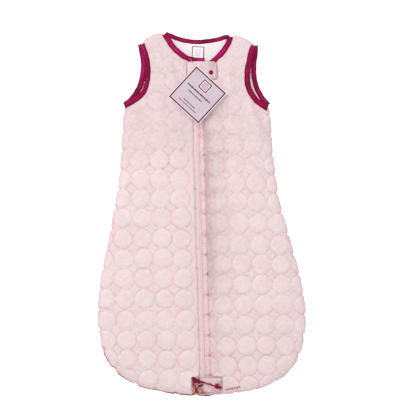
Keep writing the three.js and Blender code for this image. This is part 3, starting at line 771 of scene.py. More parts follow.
def scalloped(side, rows, sign):
    """The side edge, pulled in a little between the quilting rows."""
    p = resample(side, 1.5)
    y = p[:, 1]
    gap = np.full(len(p), 99.0)
    for a, b in zip(rows[:-1], rows[1:]):
        gap = np.minimum(gap, np.abs(y - (a + b) / 2))
    s = lengths(p)
    depth = 1.1 - 3.0 * np.exp(-((gap / 3.4) ** 2)) + 0.5 * noise(s, s * 0, 7.0, 5) + 0.25 * noise(s, s * 0, 2.4, 8)
    steep = np.abs(np.gradient(y) / np.maximum(np.hypot(np.gradient(p[:, 0]), np.gradient(y)), 1e-9))
    low = step01((-300 - y) / 20)
    across = np.abs((p[:, 0] - 19.0 + 400) % 38.8 - 19.4)
    along_hem = 0.9 - 2.2 * np.exp(-((across / 3.4) ** 2))
    depth = depth * step01(steep * 1.4) * (1 - low) + along_hem * low * (1 - step01(steep * 1.2 - 0.2)) + 0.3 * noise(s, s * 0, 3.0, 9)
    depth *= step01(s / 10) * step01((s[-1] - s) / 8)
    return p + normals2(p) * (depth * sign)[:, None]


side_l_s = scalloped(side_l, ROWS_L, -1)     # travelling down, outwards is to the right
side_r_s = scalloped(side_r, ROWS_R, 1)
SEAMS = [side_l_s, side_r_s, shoulder_l, shoulder_r]


def seam_distance(P):
    return np.min([distance(P, s) for s in SEAMS], axis=0)


def centres(side):
    out = []
    rows = ROWS_L if side < 0 else ROWS_R
    for y in rows:
        py = 213 - y / PX
        if side < 0:
            x0 = (178.7 + 0.0445 * (py - 160) - 201.75) * PX
            pitch = (19.4 + 0.7 * np.clip((py - 100) / 280, 0, 1)) * PX
            xs = [x0 - k * pitch for k in range(0, 7)]
        else:
            x0 = (215.7 + 0.062 * (py - 165) - 201.75) * PX
            pitch = 19.6 * PX
            xs = [x0 + k * pitch for k in range(-1, 6)]
        out += [(x, y) for x in xs]
    out = np.array(out)
    jitter = np.column_stack([noise(out[:, 0], out[:, 1], 11.3, 37 + side), noise(out[:, 0], out[:, 1], 11.3, 47 + side)])
    return out + 0.9 * jitter


CENTRES = {-1: centres(-1), 1: centres(1)}


def nearest(P, C):
    out = np.full(len(P), 1e9)
    for i in range(0, len(P), 8000):
        q = P[i : i + 8000]
        # each circle is a little larger or smaller than the next
        out[i : i + 8000] = (np.sqrt(((q[:, None, :] - C) ** 2).sum(2)) + 0.7 * noise(C[:, 0], C[:, 1], 9.7, 57)).min(1)
    return np.abs(out)


def quilt(P, side, swell=None):
    """(height in mm, how pressed it is from 0 to 1) of the quilting."""
    C = CENTRES[side]
    wob = np.column_stack([noise(P[:, 0], P[:, 1], 19, 31 + side), noise(P[:, 0], P[:, 1], 19, 41 + side)]) * 1.3
    r = nearest(P + wob, C)
    R = PUFF_R
    if swell is None:
        dome = 1.35 * np.clip(1 - (r / R) ** 3.2, 0, 1) ** 0.8
        between = 0.9 * (1 - np.exp(-(((r - R) / 3.0) ** 2))) * (r > R)
    else:
        dome, between = swell(P), 0.25 * (r > R) * (1 - np.exp(-(((r - R) / 2.4) ** 2)))
    ring = np.exp(-(((r - R) / 1.5) ** 2))
    return dome + between - 0.55 * ring, r


def chest_fade(P):
    """The quilting is fainter on the chest and the shoulders."""
    return 1 - 0.42 * step01((P[:, 1] - 95) / 70)


WRINKLES_R = [
    (from_px(248, 103), from_px(262, 140), 6.0, 2.6), (from_px(240, 160), from_px(262, 180), 6.0, 1.6),
    (from_px(242, 120), from_px(266, 156), 6.5, 1.6), (from_px(226, 62), from_px(232, 96), 6.0, 1.2),
    (from_px(214, 215), from_px(214, 262), 6.0, 1.3), (from_px(236, 268), from_px(262, 276), 7.0, 1.0),
]
WRINKLES_L = [
    (from_px(131, 107), from_px(140, 128), 5.0, 2.0), (from_px(176, 60), from_px(186, 78), 4.5, 1.8),
    (from_px(168, 62), from_px(176, 84), 5.0, 1.4), (from_px(150, 128), from_px(178, 140), 6.5, 1.2),
    (from_px(152, 92), from_px(166, 112), 5.5, 1.3), (from_px(120, 230), from_px(150, 238), 7.0, 0.9),
]


def tab_distance(P):
    """How far each point is from the nearer tab's footprint, 0 under it."""
    lx, ly = zip_local(P[:, 0], P[:, 1])
    out = np.full(len(P), 99.0)
    for (x0, x1), yc, ln in ((NECK_TAB_X, NECK_TAB_Y, NECK_TAB_L), (HEM_TAB_X, HEM_TAB_Y, HEM_TAB_L)):
        dx = np.maximum(np.maximum(x0 - lx, lx - x1), 0)
        dy = np.maximum(np.maximum(yc - ln / 2 - ly, ly - yc - ln / 2), 0)
        out = np.minimum(out, np.hypot(dx, dy))
    return out


def front_heights(P, side, zip_line, neck_line, arm_line, swell=None):
    ds = seam_distance(P)
    dz, dn, da = distance(P, zip_line), distance(P, neck_line), distance(P, arm_line)
    q, rad = quilt(P, side, swell)
    fade = chest_fade(P)
    beside = tab_distance(P)
    under = 1 - step01(beside / 2.6)
    open_edge = np.minimum(dn, da)
    crown = 4.6 * step01(ds / 80) * step01((dz + 6) / 50) * step01((open_edge + 6) / 50)
    crown += 1.1 * noise(P[:, 0], P[:, 1], 62, 3) * step01(ds / 40)
    wr = sum(ridge(P, *w) for w in (WRINKLES_L if side < 0 else WRINKLES_R))
    relief = q * fade * (0.35 + 0.65 * step01(ds / 12)) * (0.4 + 0.6 * step01(open_edge / 14)) * (0.55 + 0.45 * step01(dz / 9))
    swelling = 3.4 * np.exp(-((beside / 10.0) ** 2)) * step01(dz / 4) * np.clip(0.3 + dn / 14, 0, 1)     # pushed up round a tab
    soft = (crown + relief + wr + swelling) * (1 - 0.93 * under)
    base = 19.4 + soft
    c = round01(ds / 21)
    z = 9.2 + (base - 9.2) * c
    z -= 2.6 * (1 - round01(dz / 4.5)) * c
    z -= 0.7 * (1 - round01(open_edge / 3.0)) * c
    pile = 0.16 * noise(P[:, 0], P[:, 1], 2.6, 11) + 0.12 * noise(P[:, 0], P[:, 1], 1.3, 12)
    z += pile * (1 - 0.5 * under)
    z = np.maximum(z, 9.2)
    floor_z = 9.0 + (15.9 - 9.0) * round01((ds - 0.5) / 22)
    bottom = np.minimum(floor_z, z - 0.5)
    groove = 0.40 * (1 - step01(ds / 6))
    # painted shade: darker along the seams, beside the zip, at the open edges and in the troughs of the wrinkles
    shade = 0.30 * np.exp(-((ds / 5.0) ** 2)) + 0.12 * np.exp(-((dz / 3.0) ** 2)) + 0.28 * np.exp(-((open_edge / 2.4) ** 2))
    shade += 0.22 * np.clip(-wr / 1.5, 0, 1)
    faint = np.clip(1 - (0.30 + 0.70 * fade) * (0.75 + 0.35 * noise(P[:, 0], P[:, 1], 55, 29)), 0, 1)
    return z, bottom, dict(groove=np.clip(groove, 0, 1), shade=np.clip(shade, 0, 1), rad=rad, fade=faint), dict(ds=ds, dz=dz, dn=dn, da=da)


ys_zip = np.arange(ZIP_SLOT_END, 295.2, 2.0)
zip_edge_l = np.column_stack([chain_x(ys_zip) - 7.0, ys_zip])
ys_zip_r = np.arange(ZIP_SLOT_END, 282.2, 2.0)
zip_edge_r = np.column_stack([chain_x(ys_zip_r) + 14.0, ys_zip_r])


def wavy_zip_edge(line, rows, sign, seed):
    """The panel's edge beside the zip: dips at each quilting row."""
    y = line[:, 1]
    gap = np.full(len(y), 99.0)
    for a, b in zip(rows[:-1], rows[1:]):
        gap = np.minimum(gap, np.abs(y - (a + b) / 2))
    d = 0.5 - 1.6 * np.exp(-((gap / 3.0) ** 2)) + 0.25 * noise(y, y * 0, 5.0, seed)
    d *= step01((y - y[0]) / 12) * step01((y[-1] - y) / 12)
    out = line.copy()
    out[:, 0] += sign * d
    return out


zip_edge_l = wavy_zip_edge(zip_edge_l, ROWS_L, 1, 3)
zip_edge_r = wavy_zip_edge(zip_edge_r, ROWS_R, -1, 4)
neck_l_shell = neck_l[neck_l[:, 0] < chain_x(295) - 7.5]
neck_r_shell = neck_r[neck_r[:, 0] > chain_x(283) + 14.5]


def closed(parts, step):
    """One closed outline from several polylines, evenly spaced."""
    out = []
    for p in parts:
        q = resample(p, step)
        if out and np.hypot(*(out[-1][-1] - q[0])) < step * 0.6:
            q = q[1:]
        out.append(q)
    p = np.vstack(out)
    keep = [0]
    for i in range(1, len(p)):
        if np.hypot(*(p[i] - p[keep[-1]])) > step * 0.45:
            keep.append(i)
    p = p[keep]
    if np.hypot(*(p[0] - p[-1])) < step * 0.45:
        p = p[:-1]
    return p


STEP = 1.9
front_out_l = closed([zip_edge_l, neck_l_shell[::-1], shoulder_l[::-1], arm_l, side_l_s, np.array([[HEM_X - 0.15, -354.0], [HEM_X - 0.15, ZIP_SLOT_END], [chain_x(ZIP_SLOT_END) - 7, ZIP_SLOT_END]])], STEP * 0.8)
front_out_r = closed([zip_edge_r, neck_r_shell[::-1], shoulder_r[::-1], arm_r, side_r_s, np.array([[HEM_X + 0.15, -354.0], [HEM_X + 0.15, ZIP_SLOT_END], [chain_x(ZIP_SLOT_END) + 14, ZIP_SLOT_END]])], STEP * 0.8)

APEX_L = (chain_x(FOLD_APEX_Y) - 7.0, FOLD_APEX_Y)
APEX_R = (chain_x(FOLD_APEX_Y) + 14.0, FOLD_APEX_Y)


def fold_blend(obj, side):
    """Bakes obj's placement into its mesh. The direction of the flap's fold line is worked out but not used."""
    top, apex = (FOLD_START_LEFT, APEX_L) if side < 0 else (FOLD_START_RIGHT, APEX_R)
    d = np.array(top) - np.array(apex)
    d /= np.linalg.norm(d)
    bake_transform(obj)


# ------------------------------------------------- quilted panels, swollen
def swollen(outline, side, seams):
    """Cloth simulation of a quilted panel: a closed double layer, held along its
    seams and its pressed circles, blown up from inside. Returns a function that
    gives the rise of the puffs in millimetres at any points."""
    C = CENTRES[side]
    pts = []
    for i, (cx, cy) in enumerate(C):
        for r, count in ((PUFF_R, 18), (13.6, 12), (7.6, 7), (0.0, 1)):
            for k in range(count):
                a = 2 * math.pi * (k + 0.37 * i) / count
                pts.append((cx + r * math.cos(a), cy + r * math.sin(a)))
    keep = []
    for p in np.array(pts):
        if not keep or np.min(((np.array(keep) - p) ** 2).sum(1)) > 3.1**2:
            keep.append(p)
    P, tri, edge = triangulate(resample(np.vstack([outline, outline[:1]]), 6.0)[:-1], 5.0, (2.5,), np.array(keep))
    d = np.min([distance(P, line) for line in seams], axis=0)
    rad = np.sqrt(((P[:, None, :] - C) ** 2).sum(2)).min(1)
    held = edge | (d < 3.0) | (np.abs(rad - PUFF_R) < 1.7)
    start = np.where(held, 0.5, 1.1) + 0.12 * noise(P[:, 0], P[:, 1], 13, 91)
    obj = pad_mesh("swelling_panel", P, tri, edge, np.where(edge, 0, start), np.where(edge, 0, -0.6), None)
    n = len(P)
    group = obj.vertex_groups.new(name="held")
    group.add([int(i) for i in np.where(held)[0]] + list(range(n, len(obj.data.vertices))), 1.0, "REPLACE")
    cloth = obj.modifiers.new("cloth", "CLOTH")
    st = cloth.settings
    st.quality = 5
    st.mass = 0.2
    st.tension_stiffness = st.compression_stiffness = 14
    st.shear_stiffness = 5
    st.bending_stiffness = 0.4
    st.vertex_group_mass = "held"
    st.use_pressure = True
    st.uniform_pressure_force = 4
    st.shrink_min = -0.035
    st.effector_weights.gravity = 0
    cloth.collision_settings.use_collision = False
    cloth.collision_settings.use_self_collision = False
    cloth.point_cache.frame_start, cloth.point_cache.frame_end = 1, 20
    for f in range(1, 21):
        bpy.context.scene.frame_set(f)
    ev = obj.evaluated_get(bpy.context.evaluated_depsgraph_get())
    co = np.empty(len(ev.data.vertices) * 3)
    ev.data.vertices.foreach_get("co", co)
    co = np.nan_to_num(co.reshape(-1, 3)[:n] / MM)
    bpy.data.objects.remove(obj, do_unlink=True)
    rise = np.clip(co[:, 2] - 0.5, 0, None)
    high = np.percentile(rise[~held], 85)
    print("swelling", "left" if side < 0 else "right", "points", n, "rise mm 50/85/max", np.round(np.percentile(rise[~held], 50), 2), round(float(high), 2), round(float(rise.max()), 2))
    rise = np.minimum(rise * (1.55 / max(high, 0.05)), 2.3)      # the cap on how far a point may move
    tree = KDTree(n)
    for i, p in enumerate(P):
        tree.insert((p[0], p[1], 0), i)
    tree.balance()

    def at(Q):
        out = np.zeros(len(Q))
        for i, q in enumerate(Q):
            near = tree.find_n((q[0], q[1], 0), 6)
            w = [math.exp(-((d / 4.2) ** 2)) + 1e-9 for _, _, d in near]
            out[i] = sum(a * rise[j] for a, (_, j, _) in zip(w, near)) / sum(w)
        return out

    return at


# ------------------------------------------------------------ front, plush
front_meshes = {}
for side, outline, zl, nl, al, label in ((-1, front_out_l, zip_edge_l, neck_l_shell, arm_l, "left"), (1, front_out_r, zip_edge_r, neck_r_shell, arm_r, "right")):
    swell = swollen(outline, side, SEAMS + [zl, nl, al])
    P, tri, edge = triangulate(outline, STEP)
    top, bottom, looks, dd = front_heights(P, side, zl, nl, al, swell)
    # painted shade: the greyer tint grows towards the chest and shoulders
    looks["cool_tint_and_shade"] = (0.24 if side < 0 else 0.12) * step01((P[:, 1] - 70) / 90)
    if side > 0:
        # the right panel lies lower beside the zip, in the left panel's shade: the greyer tint there is painted shade,
        # and the panel's top is lowered too
        tall = 0.45 + 0.55 * step01((P[:, 1] + 195) / 90)
        band = tall * (0.62 * np.exp(-((dd["dz"] / 40.0) ** 2)) + 0.20 * np.exp(-((dd["dz"] / 14.0) ** 2)))
        band *= step01((P[:, 1] + 330) / 40) * step01((265 - P[:, 1]) / 50) * (0.86 + 0.3 * noise(P[:, 0], P[:, 1], 34, 75))
        lee = np.clip(0.86 + 0.3 * np.clip((looks["rad"] - 9) / 10, -1, 1), 0.4, 1.2)
        looks["cool_tint_and_shade"] = np.clip(looks["cool_tint_and_shade"] + band * lee, 0, 1)
        # darker just beside the zip (painted shade), with random specks and darker patches at each row gap near the zip
        gaps = np.min([np.abs(P[:, 1] - (a + b) / 2) for a, b in zip(ROWS_R[:-1], ROWS_R[1:])], axis=0)
        near_zip = np.exp(-((dd["dz"] / 11.0) ** 2))
        specks = np.clip(1.8 * noise(P[:, 0], P[:, 1], 3.1, 73) - 0.5, 0, 1) * near_zip
        looks["shade"] = np.clip(looks["shade"] + 0.14 * np.exp(-((dd["dz"] / 3.5) ** 2)) + 0.5 * specks + 0.5 * near_zip * np.exp(-((gaps / 3.4) ** 2)) * (0.6 + 0.6 * noise(P[:, 0], P[:, 1], 4.5, 77)), 0, 1)
        band = np.exp(-((dd["dz"] / 18.0) ** 2))
        top = top - 1.0 * band * round01(dd["ds"] / 21)
    obj = pad_mesh("front_%s_plush" % label, P, tri, edge, top, bottom, PLUSH_L, looks)
    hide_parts("front_shell_%s" % label, "flap_shell_%s" % label)
    front_meshes[label] = obj
    fold_blend(obj, side)
    # the lining behind it
    inner = closed([offset(zl, 0.0), nl[::-1], offset(shoulder_l if side < 0 else shoulder_r, 0)[::-1], al, offset(side_l_s if side < 0 else side_r_s, 2.4 if side < 0 else -2.4)], 4.0)
    Q, t2, e2 = triangulate(inner, 5.0, (0.8, 2.4))
    ds = seam_distance(Q)
    zt = 9.2 + (14.9 - 9.2) * round01((ds - 1.5) / 22) + 0.28 * noise(Q[:, 0], Q[:, 1], 26, 17) * step01(ds / 25)
    lin = pad_mesh("front_%s_lining" % label, Q, t2, e2, zt, zt - 0.9, LINING, {"shade": ds * 0})
    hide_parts("front_lining_%s" % label, "flap_lining_%s" % label)
    fold_blend(lin, side)

# ---------------------------------------------------------------- back pieces
arm_lb_in = offset(arm_lb, BINDING_W + 0.3)
arm_rb_in = offset(arm_rb, -BINDING_W - 0.3)
neck_b_in = offset(neck_b, -BINDING_W - 0.3)
back_out = closed([neck_b_in, shoulder_r[::-1][6:-6], arm_rb_in, side_r_s, side_l_s[::-1], arm_lb_in[::-1], shoulder_l[6:-6]], STEP)
P, tri, edge = triangulate(back_out, 2.6)
ds = seam_distance(P)
side_of = np.where(P[:, 0] < chain_x(P[:, 1]), -1, 1)
q, rad = quilt(P, -1)
do = np.min([distance(P, arm_lb_in), distance(P, arm_rb_in), distance(P, neck_b_in)], axis=0)
c = round01(ds / 17)
relief = (1.8 - q) * 0.8 * (0.3 + 0.7 * step01(ds / 14)) * (0.45 + 0.55 * step01(do / 10))
under = np.clip(relief, 0.0, 2.2) + 8.4 * (1 - c) + 1.2 * (1 - round01(do / 4)) * c
under += 0.10 * (1 + noise(P[:, 0], P[:, 1], 2.6, 21))
over = np.maximum(3.35 + (8.9 - 3.35) * (1 - round01((ds - 0.6) / 18)), under + 0.4)
over = np.minimum(over, 8.95)
# painted shade along the seams
back = pad_mesh("back_plush", P, tri, edge, over, np.minimum(under, 8.8), PLUSH_L, {"groove": 0 * ds, "rad": rad, "fade": 0 * ds, "cool_tint_and_shade": 0 * ds, "shade": 0.25 * np.exp(-((ds / 5) ** 2))})
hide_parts("back_shell")
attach(back, "sack")

back_in = closed([neck_b_in, shoulder_r[::-1][6:-6], arm_rb_in, offset(side_r_s, -2.4), offset(side_l_s, 2.4)[::-1], arm_lb_in[::-1], shoulder_l[6:-6]], 4.0)
Q, t2, e2 = triangulate(back_in, 4.2, (0.8, 2.4))
ds = seam_distance(Q)
fold = 0.5 * (1 + noise(Q[:, 0], Q[:, 1], 30, 23)) * 0.5
zt = 4.3 + (8.8 - 4.3) * (1 - round01((ds - 1.5) / 18)) + fold * step01(ds / 20)
lin = pad_mesh("back_lining_knit", Q, t2, e2, zt, zt - 0.9, LINING, {"shade": ds * 0})
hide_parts("back_lining")
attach(lin, "sack")

# ------------------------------------------------------------------- seams
def seam_strip(name, line, sign, nodes):
    p = resample(line, 2.0)
    s = lengths(p)
    z = np.full(len(p), 9.2) + 0.25 * noise(s, s * 0, 9, 33)
    path = np.column_stack([offset(p, sign * 2.3), z])
    def sec(i):
        k = 0.35 + 0.65 * min(1, s[i] / 4, (s[-1] - s[i]) / 4)
        w = 1 + 0.14 * noise(s[i], 0.0, 3.0, 35)
        return superellipse(2.0 * w, 2.6 * k * w, 16)
    # the rolls are painted darker all along: painted shade at the edges
    o = sweep(name, path, sec, PLUSH_SEAM, {"groove": np.full(len(p), 0.5), "cool_tint_and_shade": np.zeros(len(p)), "shade": np.clip(0.55 + 0.35 * noise(s, s * 0, 17, 34), 0, 1), "rad": np.zeros(len(p)), "fade": np.ones(len(p))})
    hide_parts(*nodes)
    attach(o, "sack")
    return o


seam_strip("side_seam_left_roll", side_l_s[side_l_s[:, 1] > -302], 1, ["side_seam_left"])
seam_strip("side_seam_right_roll", side_r_s[side_r_s[:, 1] > -302], -1, ["side_seam_right"])
hem_line = np.vstack([side_l_s[side_l_s[:, 1] <= -300], side_r_s[::-1][1:][side_r_s[::-1][1:, 1] <= -300]])
seam_strip("hem_seam_roll", hem_line, 1, ["hem_seam"])
seam_strip("shoulder_seam_left_roll", shoulder_l[2:-3], -1, ["shoulder_seam_left"])
seam_strip("shoulder_seam_right_roll", shoulder_r[2:-3], 1, ["shoulder_seam_right"])


# ---------------------------------------------------------------- bindings
def binding(name, line, sign, z_mid, z_seam, half_t, node, body, seed, width=BINDING_W, overlap=1.0, ends=(True, True), material=None):
    """Folded satin strip beside an edge. line is the shell's edge, sign the side
    the binding lies on; its ends sink towards the seam between the faces."""
    p = resample(line, 1.3)
    s = lengths(p)
    mid = offset(p, sign * (width - overlap) / 2)
    ds = np.min([distance(mid, k) for k in SEAMS], axis=0)
    c = round01((ds + 2.0) / 16)
    wob = noise(s, s * 0, 6.5, seed)
    fine = noise(s, s * 0, 2.3, seed + 1)
    z = z_seam + (z_mid - z_seam) * c + 0.35 * wob
    path = np.column_stack([mid + normals2(mid) * (0.35 * noise(s, s * 0, 11, seed + 2))[:, None], z])
    half_w = (width + overlap) / 2
    n = 24
    t = np.linspace(0, 2 * math.pi, n, endpoint=False)
    pleats = [noise(s * 1.0, s * 0 + k * 1.7, 3.2, seed + 5) for k in range(n)]
    rings = []
    for i in range(len(p)):
        k = 1.0
        if ends[0]:
            k = min(k, 0.70 + 0.30 * float(round01(s[i] / 2.5)))
        if ends[1]:
            k = min(k, 0.70 + 0.30 * float(round01((s[-1] - s[i]) / 2.5)))
        e = superellipse(half_w * (1 + 0.035 * fine[i]), half_t * k * (1 + 0.06 * wob[i]), n, 0.66, 0.62)
        g = np.array([pleats[j][i] for j in range(n)])
        e = e * (1 + 0.045 * g)[:, None]
        # a lengthwise dip where the stitch line pulls the fold in
        e[:, 1] -= np.sign(e[:, 1]) * 0.5 * np.exp(-(((e[:, 0] * sign + half_w - 2.2) / 1.0) ** 2))
        rings.append(e)
    across = np.array([r[:, 0] / half_w for r in rings])
    upward = np.array([r[:, 1] > 0 for r in rings])
    # painted shade: darker where the strip dips, near its ends, towards its rounded edges and in random patches; then a
    # painted highlight streak along its upper face
    shade = 0.55 * np.clip(noise(s, s * 0, 26, seed + 14), 0, 1) + 0.35 * np.clip(-wob, 0, 1) + 0.35 * np.exp(-((np.minimum(s, s[-1] - s) / 4.0) ** 2))
    shade = shade[:, None] + 0.16 * np.clip((np.abs(across) - 0.62) / 0.36, 0, 1)
    drift = 0.12 + 0.22 * noise(s, s * 0, 24, seed + 9)
    painted_highlight = np.exp(-(((across * sign - drift[:, None]) / 0.26) ** 2)) * np.clip(0.5 + 0.85 * noise(s, s * 0, 19, seed + 10) + 0.3 * noise(s, s * 0, 6, seed + 12), 0, 1.2)[:, None] * upward
    o = sweep(name, path, lambda i: rings[i], material or SATIN, {"shade": np.clip(shade, 0, 1), "painted_highlight": np.clip(painted_highlight, 0, 1)})
    if node:
        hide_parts(node)
    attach(o, body)
    line_st = offset(p, sign * (1.9 - overlap))[3:-3]
    st = stitches(name + "_stitches", line_st, (z + half_t - 0.30)[3:-3], 3.2, 2.3, 0.26, THREAD)
    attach(st, body)
    return o


Z_MID_F, Z_MID_B = 17.6, 2.95
binding("armhole_front_left_satin", arm_l, -1, Z_MID_F, 11.8, 3.5, "armhole_binding_front_left", "sack", 51, width=BINDING_W + 0.4, overlap=1.6)
binding("armhole_front_right_satin", arm_r, 1, Z_MID_F, 11.8, 3.5, "armhole_binding_front_right", "sack", 61, width=BINDING_W + 1.6, overlap=1.6)
binding("armhole_back_left_satin", arm_lb_in, -1, Z_MID_B, 6.6, 2.75, "armhole_binding_back_left", "sack", 71, width=BINDING_W + 2.6, overlap=0.6)
binding("armhole_back_right_satin", arm_rb_in, 1, Z_MID_B, 6.6, 2.75, "armhole_binding_back_right", "sack", 81, width=BINDING_W + 1.4, overlap=0.6)
binding("neck_back_satin", neck_b_in, 1, Z_MID_B, 6.6, 2.75, "neck_binding_back", "sack", 91, overlap=0.6)
nl_b = neck_l[neck_l[:, 0] < chain_x(294) - 1.5]
nr_b = neck_r[neck_r[:, 0] > chain_x(282) + 5]
binding("neck_front_left_satin", nl_b, 1, Z_MID_F, 11.8, 3.5, "neck_binding_front_left", "left_flap", 101, width=BINDING_W + 0.8, overlap=2.2)
binding("neck_front_right_satin", nr_b, -1, Z_MID_F, 11.8, 3.5, "neck_binding_front_right", "right_flap", 111, width=BINDING_W + 0.8, overlap=2.2)


# --------------------------------------------------------------------- zip
def zip_strip(name, x_in, x_out, y0, y1, z0, z1, material, nx=22, dy=1.6, ribs=0.12, pocket=True):
    """A woven strip in the zip's frame, from x_in (beside the chain) to x_out."""
    y = np.arange(y0, y1 + 0.01, dy)
    u = np.linspace(0, 1, nx)
    inner = np.full(len(y), abs(x_in))
    if pocket:
        for yc, w0, w1 in ((SLIDER_TOP_Y, 0.6, 6.2), (SLIDER_BOTTOM_Y, -6.2, -0.6)):
            near = step01((y - (yc + w0 - 2)) / 2) * step01(((yc + w1 + 2) - y) / 2)
            inner = np.maximum(inner, 1.5 * near)
    sign = 1 if x_out > 0 else -1
    X = sign * (inner[None, :] + (abs(x_out) - inner[None, :]) * u[:, None])
    Y = np.broadcast_to(y, X.shape)
    W = zip_world(X, Y)
    edge = np.minimum(u, 1 - u)[:, None] * abs(x_out)
    rnd = round01(edge / 0.5)
    mid = (z0 + z1) / 2
    t = (z1 - z0) / 2
    wave = ribs * np.cos(X * 2 * math.pi / 1.9) + 0.12 * noise(Y, X, 14, 7)
    top = mid + t * (0.35 + 0.65 * rnd) + wave * rnd
    bottom = mid - t * (0.35 + 0.65 * rnd)
    bottom = np.broadcast_to(bottom, top.shape)
    # darker patches at each row gap beside the panel's edge, and random specks
    rows = ROWS_L if sign < 0 else ROWS_R
    gaps = np.min([np.abs(W[1] - (a + b) / 2) for a, b in zip(rows[:-1], rows[1:])], axis=0)
    across = np.abs(X)
    lumps = np.exp(-((gaps / 2.3) ** 2)) * np.exp(-(((across - (5.4 if sign < 0 else 12.6)) / (1.6 if sign < 0 else 3.2)) ** 2))
    specks = np.clip(1.8 * noise(X, Y, 2.6, 56) - 0.45, 0, 1) * np.clip((across - 3.6) / 2.0, 0, 1)
    shade = 0.62 * lumps * (0.8 + 0.5 * noise(X, Y, 3.0, 57)) + (0.12 if sign < 0 else 0.30) * specks
    if sign > 0:
        flat_w = np.column_stack([W[0].ravel(), W[1].ravel()])
        edge_c = np.array([(c0 - 38.2, c1) for c0, c1 in CENTRES[1] if abs(c0 - 38.2 - chain_x(c1)) < 14])
        rr = np.sqrt(((flat_w[:, None, :] - edge_c) ** 2).sum(2)).min(1).reshape(X.shape)
        # painted shade over the whole right tape, darker arcs where the neighbouring puffs' circles fall, a painted
        # shadow in the trench at the panel's edge and a painted highlight on the ridge at 8.8 mm
        shade += 0.34 * np.exp(-(((rr - PUFF_R) / 1.2) ** 2)) + 0.10 - 0.16 * np.exp(-(((across - 8.8) / 1.5) ** 2)) + 0.22 * np.exp(-(((across - 14.2) / 1.4) ** 2))
        shade += 0.05 * np.cos(across * 2 * math.pi / 3.3)
    return grid_solid(name, W[0], W[1], top, bottom, material, {"shade": np.clip(shade, 0, 0.9)})


tl = zip_strip("zip_tape_left_weave", -0.4, -15.0, CHAIN_BOTTOM - 1, CHAIN_TOP + 0.5, 15.7, 16.5, TAPE)
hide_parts("zip_tape_left")
fold_blend(tl, -1)
tr = zip_strip("zip_tape_right_weave", 0.4, 22.0, CHAIN_BOTTOM - 1, CHAIN_TOP + 0.5, 15.7, 16.5, TAPE, nx=34)
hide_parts("zip_tape_right")
fold_blend(tr, 1)


def coil(name, sign):
    """Nylon spiral: one rounded loop every 2.3 mm over two sewn threads."""
    pitch = 2.3
    ys = np.arange(CHAIN_BOTTOM + 1, CHAIN_TOP - 0.5, pitch) + (0 if sign < 0 else pitch / 2)
    nu, nv = 7, 8
    verts, faces = [], []
    for yc in ys:
        inner = -0.75
        if SLIDER_TOP_Y + 0.1 < yc < SLIDER_TOP_Y + 6.7 or SLIDER_BOTTOM_Y - 6.7 < yc < SLIDER_BOTTOM_Y - 0.1:
            inner = 1.5
        xc, a = (inner + COIL_W + 0.15) / 2, (COIL_W + 0.15 - inner) / 2
        base = len(verts)
        for i in range(nu):
            w = -1 + 2 * i / (nu - 1)
            rr = max(0.12, (1 - abs(w) ** 3.2)) ** 0.5 * (0.66 if w < -0.4 else 1.0)
            for j in range(nv):
                t = 2 * math.pi * j / nv
                x = sign * (xc + a * w)
                lx, ly = zip_world(x, yc + 0.95 * rr * math.cos(t) + 0.25 * w * sign)
                verts.append((float(lx), float(ly), 18.2 + 1.4 * rr * math.sin(t)))
        for i in range(nu - 1):
            for j in range(nv):
                k = (j + 1) % nv
                q = (base + i * nv + j, base + (i + 1) * nv + j, base + (i + 1) * nv + k, base + i * nv + k)
                faces.append(q if sign < 0 else q[::-1])
        c0 = tuple(base + j for j in range(nv))
        c1 = tuple(base + (nu - 1) * nv + j for j in reversed(range(nv)))
        faces.append(c0 if sign < 0 else c0[::-1])
        faces.append(c1 if sign < 0 else c1[::-1])
    o = make(name + "_turns", verts, faces, COIL)
    # sewn cord through the loops
    y = np.arange(CHAIN_BOTTOM + 1, CHAIN_TOP - 1, 2.0)
    xx, yy = zip_world(sign * 2.3, y)
    cord = tube(name + "_core", np.column_stack([xx, yy, np.full(len(y), 17.5)]), 0.62, COIL, 8)
    return join([o, cord], name)


for sign, label in ((-1, "left"), (1, "right")):
    c_obj = coil("zip_coil_%s_loops" % label, sign)
    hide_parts("zip_coil_%s" % label)
    fold_blend(c_obj, sign)

# guard strip behind the zip, and its bound top edge
y = np.arange(CHAIN_BOTTOM + 6, 290.01, 2.5)
reach = -1.5 + 17.5 * step01((y + 172) / 110)          # narrow below the point where the flaps start
u = np.linspace(0, 1, 12)
X, Y = -12 + u[:, None] * (reach + 12)[None, :], np.repeat(y[None, :], 12, 0)
W = zip_world(X, Y)
edge_g = np.minimum(X + 12, reach[None, :] - X)
rr = round01(edge_g / 1.2)
wv = 0.2 * noise(X, Y, 18, 9)
guard = grid_solid("zip_guard_knit", W[0], W[1], 12.6 + 0.6 * (0.3 + 0.7 * rr) * np.ones_like(X) + wv * 0.4, 12.6 - 0.6 * (0.3 + 0.7 * rr) * np.ones_like(X) + wv * 0.4, LINING, {"shade": X * 0})
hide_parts("zip_guard")
fold_blend(guard, -1)
gx = np.linspace(-6, 19.5, 30)
gp = np.column_stack([*zip_world(gx, 298.2 + 0.5 * noise(gx, gx * 0, 7, 4)), np.full(30, 12.8)])
gs = lengths(gp)
# painted highlight along the guard's bound edge, stronger in places
gb = sweep("zip_guard_satin", gp, lambda i: superellipse(5.4 * (1 + 0.03 * noise(gs[i], 0.0, 4, 3)), 0.95 * (0.4 + 0.6 * float(round01(min(gs[i], gs[-1] - gs[i]) / 1.5))), 20, 0.6, 0.8), satin_material("satin_guard", srgb(162, 4, 84), srgb(104, 0, 44), srgb(210, 30, 138)), {"shade": gs * 0, "painted_highlight": 0.5 + 0.5 * noise(gs, gs * 0, 6, 12)})
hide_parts("zip_guard_binding")
fold_blend(gb, -1)

